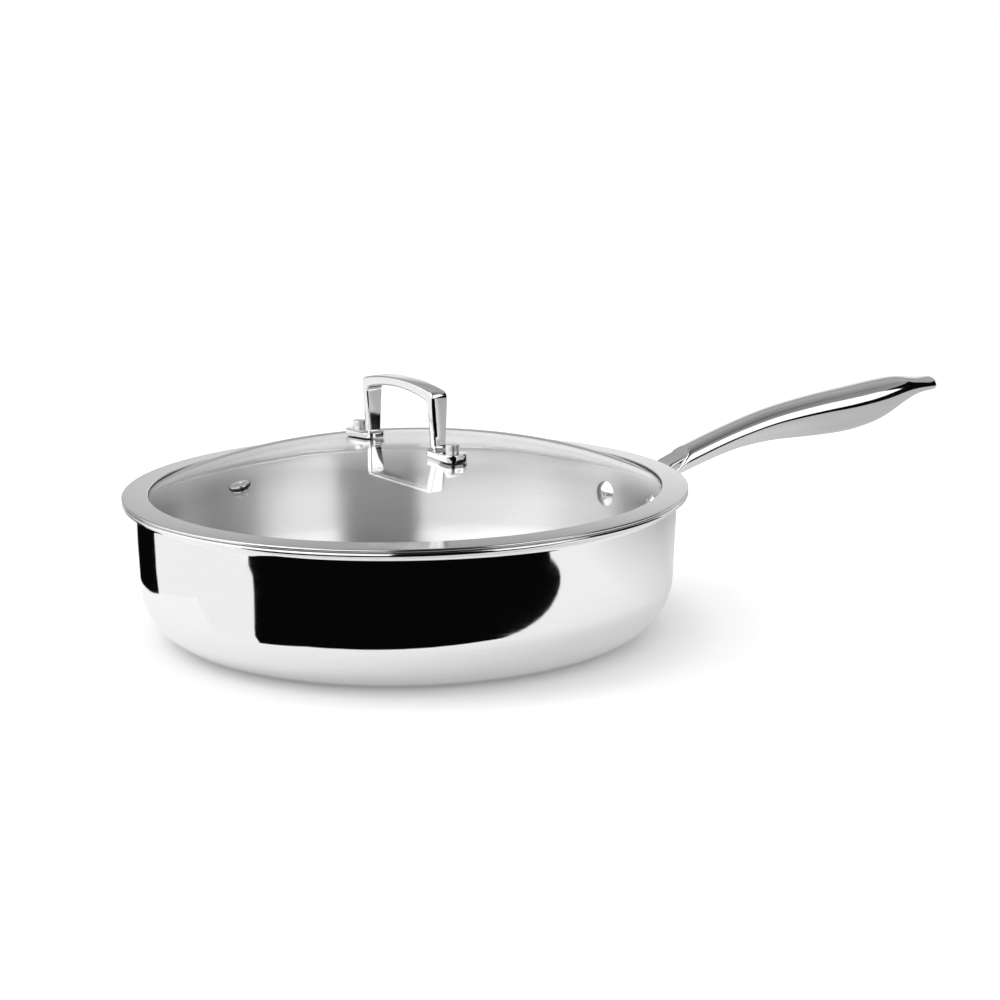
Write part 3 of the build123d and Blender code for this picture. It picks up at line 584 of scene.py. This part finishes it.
# Seal: a black silicone bead that fills the band's channel round the glass.
# Only its thin inner edge shows, as a dark line between the glass and the steel.
seal_fit = 0.05
seal_inner_r = band_inner_r - 0.2
seal_outer_r = band_web_r - band_sheet - seal_fit
seal_low_z = band_hem_z + band_sheet + seal_fit
seal_high_z = band_inner_z - band_sheet - seal_fit
seal_steps = 160
silicone_specks_per_mm = 0.9

# Silicone rubber: matt black, with a faint fine pebble that breaks its dull shine up
black_silicone, tree = new_material("black_silicone_rubber")
place = add_node(tree, "ShaderNodeTexCoord")
speck = add_node(tree, "ShaderNodeTexNoise", None, {
    "Vector": place.outputs["Object"], "Scale": silicone_specks_per_mm / mm, "Detail": 2.0})
grained_surface(tree, speck, colours=("#0d0d0e", "#1c1c1d"), roughness=(0.42, 0.58), lift=(0.12, 0.1),
                settings={"IOR": 1.43})

bm = bmesh.new()
start = bm.verts.new(((band_lip_r + seal_fit) * mm, 0, seal_low_z * mm))
end = start
for radius, height in (
        (seal_outer_r, seal_low_z), (seal_outer_r, seal_high_z), (seal_inner_r, seal_high_z),
        (seal_inner_r, glass_z(seal_inner_r) + seal_fit), (glass_edge_r, glass_edge_z + seal_fit),
        (glass_edge_r + seal_fit, glass_edge_z), (glass_low_edge_r + seal_fit, glass_low_edge_z - seal_fit)):
    end = run_to(bm, end, radius, height)
bm.edges.new((end, start))
turn_section(bm, seal_steps)
finished(bm, "silicone_seal", black_silicone, "lid", ["glass_seal"])


# Lid handle: one bar of cast steel, bent over into a bridge and polished.
# Each leg narrows downwards and flares into a flat foot that is bolted through the glass.
lid_frame = Matrix.Rotation(math.radians(-84.0), 4, "Z")
leg_outer_u = 34.8
leg_thickness = 5.4
leg_inner_u = leg_outer_u - leg_thickness
leg_width = 7.2
leg_height = 32.4
leg_bow = 0.6
leg_blend = 2.4
leg_inner_drop = 1.6
leg_stations = [(0.33, 4.0), (0.66, 4.4), (1.0, 4.8)]
toe_blend = 1.6
foot_inner_u = leg_inner_u - 2.4
foot_outer_u = leg_outer_u + 17.8
foot_width = 13.4
foot_thickness = 2.5
foot_lift = 0.6
foot_bottom_z = glass_z(foot_inner_u) + foot_lift
foot_top_z = foot_bottom_z + foot_thickness
bridge_rise = 4.0
bridge_shoulder_z = foot_bottom_z + leg_height
bridge_crown_z = bridge_shoulder_z + bridge_rise
bridge_thickness = 5.0
bridge_width = 9.6
bridge_bow = 0.3
outer_round = 3.4
inner_round = 3.0
taper_top_z = bridge_shoulder_z - 6.4
bar_side_swell = 0.15
bar_inner_swell = 0.2
bar_least_angle = 40
bar_rounding = 0.9
bar_smooth_angle = 32
mirror_weld = 0.01


# A ring across the bar: the outer face is bowed by a given rise, the inner one and the sides only a little
def bar_ring(bm, outer, inner, half_width, rise):
    outer, inner = Vector(outer), Vector(inner)
    out = (outer - inner).normalized()
    middle = (outer + inner) / 2
    places = [(outer - out * rise * share ** 2, half_width * share) for share in (1, 0.5, 0, -0.5, -1)]
    places += [(middle, -half_width - bar_side_swell), (inner, -half_width),
               (inner - out * bar_inner_swell, 0), (inner, half_width), (middle, half_width + bar_side_swell)]
    return closed_ring(bm, [(place[0], v, place[1]) for place, v in places])


def on_round(centre, radius, degrees):
    turn = math.radians(degrees)
    return centre[0] + radius * math.cos(turn), centre[1] + radius * math.sin(turn)


# The bridge is a long bow with a small arc at each corner. This gives the bow's radius and centre, and the
# centre of the small arc with the turn in degrees at which it meets the bow
def bow_over(half_span, crown_z, corner_round):
    bow = (half_span ** 2 + bridge_rise ** 2) / (2 * bridge_rise)
    centre = (0, crown_z - bow)
    corner_u = half_span - corner_round
    corner = (corner_u, centre[1] + math.sqrt((bow - corner_round) ** 2 - corner_u ** 2))
    return bow, centre, corner, 90 - math.degrees(math.asin(corner_u / (bow - corner_round)))


top_bow, top_centre, outer_corner, outer_turn = bow_over(leg_outer_u, bridge_crown_z, outer_round)
low_bow, low_centre, inner_corner, inner_turn = bow_over(
    leg_inner_u, bridge_crown_z - bridge_thickness, inner_round)

bm = bmesh.new()
rings = []
for turn in (0, 22, 45, 68, 90):
    rings.append(bar_ring(
        bm, on_round((leg_outer_u + leg_blend, foot_top_z + leg_blend), leg_blend, 270 - turn),
        on_round((leg_inner_u - toe_blend, foot_top_z + toe_blend), toe_blend, 270 + turn),
        leg_width / 2 + leg_blend - leg_blend * math.sin(math.radians(turn)), leg_bow * turn / 90))
for rise, half_width in leg_stations:
    height = foot_top_z + leg_blend + (taper_top_z - foot_top_z - leg_blend) * rise
    rings.append(bar_ring(bm, (leg_outer_u, height), (leg_inner_u, height - leg_inner_drop * rise),
                          half_width, leg_bow))
for share in (0, 0.125, 0.25, 0.375, 0.5, 0.625, 0.75, 0.875, 1.0):
    rings.append(bar_ring(bm, on_round(outer_corner, outer_round, outer_turn * share),
                          on_round(inner_corner, inner_round, inner_turn * share), bridge_width / 2,
                          leg_bow + (bridge_bow - leg_bow) * share))
for share in (0.15, 0.3, 0.45, 0.6, 0.75, 0.9, 1.0):
    rings.append(bar_ring(bm, on_round(top_centre, top_bow, outer_turn + (90 - outer_turn) * share),
                          on_round(low_centre, low_bow, inner_turn + (90 - inner_turn) * share),
                          bridge_width / 2, bridge_bow))
skin_rings(bm, rings)
bmesh.ops.recalc_face_normals(bm, faces=bm.faces[:])
ring_edges = {e for ring in rings for e in ring if e.is_valid}
round_edges(bm, [e for e in sharp_edges(bm, bar_least_angle) if e not in ring_edges], bar_rounding, 4)
bmesh.ops.mirror(bm, geom=bm.verts[:] + bm.edges[:] + bm.faces[:], axis="X", merge_dist=mirror_weld * mm)

# Feet: flat plates with rounded corners, one body with the legs that flare into them.
# Their undersides follow the dome of the glass
foot_corner_radius = 5.0
foot_rim_radius = 0.8
foot_face_match = 0.02
foot_top_corners = 20
for side in (-1, 1):
    foot = bmesh.ops.create_cube(bm, size=1.0)["verts"]
    bmesh.ops.scale(bm, vec=((foot_outer_u - foot_inner_u) * mm, foot_width * mm, foot_thickness * mm),
                    verts=foot)
    bmesh.ops.translate(bm, vec=(side * (foot_outer_u + foot_inner_u) / 2 * mm, 0,
                                 (foot_bottom_z + foot_top_z) / 2 * mm), verts=foot)
    upright = [e for e in bm.edges if e.verts[0] in foot
               and abs(e.verts[0].co.z - e.verts[1].co.z) > foot_thickness / 2 * mm]
    round_edges(bm, upright, foot_corner_radius, 8, clamp=False)
    top = [f for f in bm.faces if f.normal.z > 0.9 and f.calc_center_median().x * side > 0
           and abs(f.calc_center_median().z - foot_top_z * mm) < foot_face_match * mm
           and len(f.verts) > foot_top_corners]
    for corner in bm.verts:
        if corner.co.x * side > 0 and corner.co.z < (foot_bottom_z + 0.1) * mm:
            corner.co.z = (glass_z(corner.co.xy.length / mm) + foot_lift) * mm
    round_edges(bm, [e for f in top for e in f.edges], foot_rim_radius, 4, clamp=False)
bmesh.ops.transform(bm, matrix=lid_frame, verts=bm.verts[:])
lid_bridge = finished(bm, "bridge_handle", cast_steel, "lid", ["lid_handle"], bar_smooth_angle)
lid_bridge.modifiers.new("flat_faces", "WEIGHTED_NORMAL").keep_sharp = True


# Fixings of the lid handle, one set at each foot: a round steel post stands on the foot and is threaded
# for a screw from below. A rubber gasket lies on the glass, and a rubber pad and a washer lie under it.
post_u = foot_outer_u - 7.2
post_radius = 3.6
post_top = foot_top_z + 4.4
post_stud_radius = 2.8
post_stud_z = foot_top_z - 4.2
gasket_bore, gasket_radius, gasket_collar, gasket_drop = 3.1, 6.5, 4.6, 2.4
gasket_top = foot_lift - 0.02
bolt_bore = 2.1
pad_radius = 7.4
washer_radius = 6.0
glass_low_z = glass_z(post_u) - glass_thickness
pad_low_z = glass_low_z - 1.5
washer_low_z = pad_low_z - 1.0
screw_head_radius, screw_shank_radius = 4.0, 2.0
screw_head_z = washer_low_z - 2.4
screw_recess_z = washer_low_z - 1.0
screw_end_z = washer_low_z + 11.0
turned_steps = 48
turned_smooth_angle = 35
turned_least_angle = 40
turned_specks_per_mm = 1.5

# Steel turned on a lathe and left with a soft shine, not buffed like the bar
turned_steel, tree = new_material("lathe_turned_steel")
place = add_node(tree, "ShaderNodeTexCoord")
tool_marks = add_node(tree, "ShaderNodeTexNoise", None, {
    "Vector": place.outputs["Object"], "Scale": turned_specks_per_mm / mm, "Detail": 2.0})
grained_surface(tree, tool_marks, colours=("#ececec", "#f8f8f8"), roughness=(0.3, 0.38),
                settings={"Metallic": 1.0})


def turned_piece(name, corners, material, nodes, place, round_edge):
    bm = bmesh.new()
    start = bm.verts.new((corners[0][0] * mm, 0, corners[0][1] * mm))
    end = start
    for radius, height in corners[1:]:
        end = run_to(bm, end, radius, height)
    if corners[0][0] > 0:
        bm.edges.new((end, start))
    turn_section(bm, turned_steps)
    round_edges(bm, sharp_edges(bm, turned_least_angle), round_edge, 3)
    bmesh.ops.transform(bm, matrix=place, verts=bm.verts[:])
    finished(bm, name, material, "lid", nodes, turned_smooth_angle)


for side_name, side in {"front": 1, "rear": -1}.items():
    place = lid_frame @ Matrix.Translation((side * post_u * mm, 0, 0))
    on_glass = (lid_frame @ Matrix.Translation((side * post_u * mm, 0, glass_z(post_u) * mm))
                @ Matrix.Rotation(side * math.asin(post_u / dome_radius), 4, "Y"))
    turned_piece("round_post_" + side_name,
                 [(0, post_top), (post_radius, post_top), (post_radius, foot_top_z),
                  (post_stud_radius, foot_top_z - 0.1), (post_stud_radius, post_stud_z), (0, post_stud_z)],
                 turned_steel, ["post_nut_" + side_name], place, 0.45)
    turned_piece("gasket_" + side_name,
                 [(gasket_bore, gasket_top), (gasket_radius, gasket_top), (gasket_radius, 0),
                  (gasket_collar, 0), (gasket_collar, -gasket_drop), (gasket_bore, -gasket_drop)],
                 black_silicone, ["foot_gasket_" + side_name], on_glass, 0.15)
    turned_piece("underside_pad_" + side_name,
                 [(bolt_bore, pad_low_z), (pad_radius, pad_low_z), (pad_radius, glass_low_z - 0.5),
                  (bolt_bore, glass_low_z - 0.1)],
                 black_silicone, ["glass_pad_" + side_name], place, 0.25)
    turned_piece("washer_" + side_name,
                 [(bolt_bore, washer_low_z), (washer_radius, washer_low_z), (washer_radius, pad_low_z),
                  (bolt_bore, pad_low_z)],
                 mirror_steel, ["steel_washer_" + side_name], place, 0.2)
    turned_piece("screw_" + side_name,
                 [(0, screw_recess_z), (1.25, screw_recess_z), (1.45, screw_head_z),
                  (screw_head_radius, screw_head_z), (screw_head_radius, washer_low_z),
                  (screw_shank_radius, washer_low_z), (screw_shank_radius, screw_end_z), (0, screw_end_z)],
                 mirror_steel, ["clamp_screw_" + side_name], place, 0.3)


# Steam vent: a thin rubber washer on the glass, and a polished steel eyelet through both.
# The eyelet's flange shows above, and its tube is rolled over below the glass.
vent_r = glass_edge_r - 38.6
vent_bearing = math.radians(-174.0)
vent_lean = math.asin((vent_r - shoulder_centre_r) / shoulder_radius)
vent_place = (Matrix.Rotation(vent_bearing, 4, "Z")
              @ Matrix.Translation((vent_r * mm, 0, glass_z(vent_r) * mm))
              @ Matrix.Rotation(vent_lean, 4, "Y"))
vent_bore, vent_tube, vent_flange, vent_roll = 2.0, 2.6, 5.0, 4.4
vent_washer_top = 0.7
vent_roll_z = -glass_thickness - 0.1
turned_piece("vent_gasket", [(2.7, 0), (5.6, 0), (5.6, vent_washer_top), (2.7, vent_washer_top)],
             black_silicone, ["vent_washer"], vent_place, 0.15)
turned_piece("steam_eyelet",
             [(vent_bore, 1.7), (vent_tube, 1.7), (vent_flange, 1.5), (vent_flange, vent_washer_top),
              (vent_tube, vent_washer_top), (vent_tube, vent_roll_z), (vent_roll, vent_roll_z),
              (vent_roll, -glass_thickness - 0.7), (vent_bore, -glass_thickness - 0.9)],
             mirror_steel, ["vent_eyelet"], vent_place, 0.2)


# Studio: a white paper floor that runs out to a white surround, and a soft lamp at the upper left.
# Black, pale and white cards lie and stand round the pan. They light no matt surface and cast no shadow, and
# only shiny surfaces show them.
view_turn = math.radians(-26.5)
floor_reach = 9000
floor_height = -0.3
dim_turn = view_turn + math.radians(35)


def stage_piece(name, bm, material):
    sheet = linked_object(name, bm)
    sheet.data.materials.append(material)
    return sheet


# A flat sheet lies at a height, with its outline given as the camera's side sees it
def flat_sheet(name, outline, height, material):
    bm = bmesh.new()
    turn = Matrix.Rotation(view_turn, 4, "Z")
    corners = [bm.verts.new(turn @ Vector((x * mm, y * mm, height * mm))) for x, y in outline]
    bmesh.ops.contextual_create(bm, geom=corners)
    for face in bm.faces:
        if face.normal.z < 0:
            face.normal_flip()
    return stage_piece(name, bm, material)


# White paper: a little glow lifts it to white away from the pan for straight looks. Near the pan a glow that
# only mirrors see is painted light, and what a mirror shows of it darkens towards the right with painted
# shade
floor_paper, tree = new_material("white_paper_floor")
path = add_node(tree, "ShaderNodeLightPath")
place = add_node(tree, "ShaderNodeTexCoord")
distance = add_node(tree, "ShaderNodeVectorMath", {"operation": "LENGTH"}, {0: place.outputs["Object"]})
straight_lift = add_node(tree, "ShaderNodeMapRange", None, {
    "Value": distance.outputs["Value"], "From Min": 0.12, "From Max": 0.17, "To Min": 0.08, "To Max": 0.34})
# Painted light: mirrors see the paper glow brighter near the pan, fading out by 0.8 m
mirrored_painted_light = add_node(tree, "ShaderNodeMapRange", None, {
    "Value": distance.outputs["Value"], "From Min": 0.25, "From Max": 0.8, "To Min": 0.12, "To Max": 0.0})
straight = add_node(tree, "ShaderNodeMath", {"operation": "LESS_THAN"},
                    {0: path.outputs["Glossy Depth"], 1: 0.5})
lift = add_node(tree, "ShaderNodeMix", {"data_type": "FLOAT"}, {
    "Factor": straight.outputs[0], "A": mirrored_painted_light.outputs[0], "B": straight_lift.outputs[0]})
# Painted shade: mirrors see the paper grey towards #b6b6b6 on its right side
rightward = add_node(tree, "ShaderNodeVectorMath", {"operation": "DOT_PRODUCT"},
                     {0: place.outputs["Object"], 1: (math.cos(dim_turn), math.sin(dim_turn), 0)})
mirrored_painted_shade = add_node(tree, "ShaderNodeMapRange", None,
                  {"Value": rightward.outputs["Value"], "From Min": 0.15, "From Max": 0.33})
mirrored_painted_shade = add_node(tree, "ShaderNodeMath", {"operation": "MULTIPLY"},
                  {0: mirrored_painted_shade.outputs[0], 1: path.outputs["Is Glossy Ray"]})
paper = add_node(tree, "ShaderNodeMix", {"data_type": "RGBA"},
                 {"Factor": mirrored_painted_shade.outputs[0], "A": linear("#f0f0f0"), "B": linear("#b6b6b6")})
matt = add_node(tree, "ShaderNodeBsdfDiffuse", None, {"Color": paper.outputs["Result"]})
glow = add_node(tree, "ShaderNodeEmission", None,
                {"Color": linear("#ffffff"), "Strength": lift.outputs["Result"]})
lifted = add_node(tree, "ShaderNodeAddShader", None, {0: matt.outputs[0], 1: glow.outputs[0]})
seen = add_node(tree, "ShaderNodeMath", {"operation": "MAXIMUM"},
                {0: path.outputs["Is Camera Ray"], 1: path.outputs["Is Transmission Ray"]})
seen = add_node(tree, "ShaderNodeMath", {"operation": "MAXIMUM"},
                {0: seen.outputs[0], 1: path.outputs["Is Glossy Ray"]})
shade(tree, add_node(tree, "ShaderNodeMixShader", None,
                     {0: seen.outputs[0], 1: matt.outputs[0], 2: lifted.outputs[0]}))
flat_sheet("paper_floor", [
    (-floor_reach, -floor_reach), (floor_reach, -floor_reach), (floor_reach, floor_reach),
    (-floor_reach, floor_reach)], floor_height, floor_paper)


# A card lets a ray by until the ray has been mirrored once, so only what is shiny shows it.
# A lit one glows stronger for rays that went through glass, as painted light on the brushed lining under the
# lid, which spreads its light
def card_material(name, surface_kind, colour, strength=None, painted_light_under_glass=None):
    material, tree = new_material(name)
    path = add_node(tree, "ShaderNodeLightPath")
    inputs = {"Color": linear(colour)}
    if strength:
        inputs["Strength"] = add_node(tree, "ShaderNodeMapRange", None, {
            "Value": path.outputs["Transmission Depth"],
            "To Min": strength, "To Max": painted_light_under_glass}).outputs[0]
    face = add_node(tree, surface_kind, None, inputs)
    gone = add_node(tree, "ShaderNodeBsdfTransparent")
    mirrored = add_node(tree, "ShaderNodeMath", {"operation": "GREATER_THAN"},
                        {0: path.outputs["Glossy Depth"], 1: 0.5})
    shade(tree, add_node(tree, "ShaderNodeMixShader", None,
                         {0: mirrored.outputs[0], 1: gone.outputs[0], 2: face.outputs[0]}))
    return material


card_black = card_material("black_velvet_card", "ShaderNodeBsdfDiffuse", "#060607")
card_pale = card_material("pale_lit_card", "ShaderNodeEmission", "#ffffff", 0.95, 0.95)
# Painted light: seen through the glass, the white cards glow at 4.2 instead of 1.3
card_white = card_material("white_lit_card", "ShaderNodeEmission", "#ffffff", 1.3, 4.2)
cards = [
    flat_sheet("front_card", [
        (-111, -135), (-80, -162), (-52, -173), (-25, -179), (1, -183.5), (29, -187), (64, -189.5),
        (95, -188), (120, -182.5), (145, -178), (168, -175.5), (190, -176), (208, -178.5), (222, -184),
        (232, -192), (237, -203), (240, -216), (460, -420), (2600, -2300), (0, -5000), (-5000, -5000),
        (-2830, -1395), (-330, -222), (-254, -187), (-205, -175), (-156, -152)], 1.0, card_black),
    flat_sheet("left_card", [
        (-217, 18), (-251, 51), (-300, 89), (-420, 180), (-400, 420), (-211, 184), (-175, 106), (-197, 63),
        (-206, 40)], 1.0, card_black),
    flat_sheet("left_white_card", [
        (-420, 176), (-300, 89), (-251, 51), (-217, 18), (-227, -28), (-229, -74), (-209, -83), (-183, -97),
        (-145, -109), (-102, -122), (-111, -135), (-156, -152), (-205, -175), (-231, -186), (-254, -187),
        (-283, -170), (-304, -138), (-330, -107), (-480, -60)], 2.0, card_pale),
    flat_sheet("right_far_card", [(780, 200), (780, -500), (2600, -2200), (4200, 900)], 1.0, card_black)]


# An upright card stands round the table: its two ends are turned from the camera's side to the right,
# in degrees, and each end has a low and a high corner
def upright_card(name, distance, ends, material):
    bm = bmesh.new()
    corners = []
    for degrees, low, high in ends:
        way = view_turn + math.radians(degrees - 90)
        foot = Vector((math.cos(way), math.sin(way), 0)) * distance * mm
        pair = [bm.verts.new(foot + Vector((0, 0, z * mm))) for z in (low, high)]
        corners += pair if not corners else pair[::-1]
    bmesh.ops.contextual_create(bm, geom=corners)
    return stage_piece(name, bm, material)


for name, distance, ends, material in (
        ("right_softbox_near", 2300, ((34, 120, 2500), (46, 120, 2500)), card_white),
        ("right_softbox_far", 2300, ((46, 120, 2500), (80, 1150, 2500)), card_white),
        ("right_dark_near", 2450, ((34, 0, 1900), (74, 0, 1900)), card_black),
        ("right_dark_side", 2450, ((74, 0, 2500), (118, 0, 2100)), card_black),
        ("left_softbox", 2300, ((-118, 300, 3000), (-7, 300, 3600)), card_white),
        ("front_flag", 2300, ((-6, 0, 5200), (33, 0, 5200)), card_black)):
    cards.append(upright_card(name, distance, ends, material))
for card in cards:
    card.visible_camera = False
    card.visible_diffuse = False
    card.visible_shadow = False

# Surround: plain white to the eye and through the glass. Mirrors see it darken upwards and on one side
world = bpy.data.worlds.new("white_studio")
bpy.context.scene.world = world
world.use_nodes = True
tree = world.node_tree
tree.nodes.clear()
path = add_node(tree, "ShaderNodeLightPath")
direct = add_node(tree, "ShaderNodeMath", {"operation": "LESS_THAN"},
                  {0: path.outputs["Glossy Depth"], 1: 0.5})
through = add_node(tree, "ShaderNodeMath", {"operation": "MULTIPLY"},
                   {0: path.outputs["Is Transmission Ray"], 1: direct.outputs[0]})
seen = add_node(tree, "ShaderNodeMath", {"operation": "MAXIMUM"},
                {0: path.outputs["Is Camera Ray"], 1: through.outputs[0]})
way = add_node(tree, "ShaderNodeTexCoord")
part = add_node(tree, "ShaderNodeSeparateXYZ", None, {0: way.outputs["Generated"]})
sky = add_node(tree, "ShaderNodeValToRGB", None, {"Fac": part.outputs[2]})
stops = sky.color_ramp.elements
stops[0].position, stops[0].color = 0.0, linear("#fcfcfc")
stops[1].position, stops[1].color = 1.0, linear("#303030")
for position, code in ((0.14, "#fafafa"), (0.24, "#e2e2e2"), (0.38, "#a4a4a4"), (0.6, "#b4b4b4"),
                       (0.85, "#909090"), (0.96, "#606060")):
    stops.new(position).color = linear(code)
dark_side = view_turn + math.radians(118)
toward = add_node(tree, "ShaderNodeVectorMath", {"operation": "DOT_PRODUCT"},
                  {0: way.outputs["Generated"], 1: (math.cos(dark_side), math.sin(dark_side), 0)})
fall_off = add_node(tree, "ShaderNodeMapRange", {"interpolation_type": "SMOOTHSTEP"}, {
    "Value": toward.outputs["Value"], "From Min": 0.86, "From Max": 1.0, "To Min": 1.0, "To Max": 0.4})
sky = add_node(tree, "ShaderNodeVectorMath", {"operation": "SCALE"},
               {0: sky.outputs["Color"], "Scale": fall_off.outputs[0]})
even = add_node(tree, "ShaderNodeMix", {"data_type": "RGBA"},
                {"Factor": path.outputs["Is Glossy Ray"], "A": linear("#f2f2f2"), "B": sky.outputs["Vector"]})
room = add_node(tree, "ShaderNodeBackground", None, {"Color": even.outputs["Result"], "Strength": 0.95})
white = add_node(tree, "ShaderNodeBackground", None, {"Color": linear("#ffffff"), "Strength": 1.0})
both = add_node(tree, "ShaderNodeMixShader", None,
                {0: seen.outputs[0], 1: room.outputs[0], 2: white.outputs[0]})
add_node(tree, "ShaderNodeOutputWorld", None, {"Surface": both.outputs[0]})

softbox = bpy.data.lights.new("softbox", "AREA")
softbox.shape = "RECTANGLE"
softbox.size = 1.6
softbox.size_y = 1.6
softbox.energy = 16
softbox_place = bpy.data.objects.new("softbox", softbox)
bpy.context.scene.collection.objects.link(softbox_place)
softbox_place.location = (-1.4, 0.7, 2.0)
softbox_place.rotation_euler = (-softbox_place.location).to_track_quat("-Z", "Y").to_euler()

# Camera: where the photograph was taken from, a step back and slightly above the rim
camera_spot = (-0.58173, -1.16676, 0.34824)
camera_yaw = 0.5009
camera_pitch = 0.2116
camera_roll = -0.012
camera = bpy.data.cameras.new("camera")
camera.lens = 90
camera.sensor_width = 36
camera_place = bpy.data.objects.new("camera", camera)
bpy.context.scene.collection.objects.link(camera_place)
ahead = Vector((math.sin(camera_yaw) * math.cos(camera_pitch), math.cos(camera_yaw) * math.cos(camera_pitch),
                -math.sin(camera_pitch)))
level = Vector((math.cos(camera_yaw), -math.sin(camera_yaw), 0))
upward = level.cross(ahead)
right = level * math.cos(camera_roll) + upward * math.sin(camera_roll)
upright_way = upward * math.cos(camera_roll) - level * math.sin(camera_roll)
turned = Matrix((right, upright_way, -ahead)).transposed().to_4x4()
camera_place.matrix_world = Matrix.Translation(camera_spot) @ turned
bpy.context.scene.camera = camera_place
bpy.context.scene.view_settings.view_transform = "Standard"

bpy.context.view_layer.update()
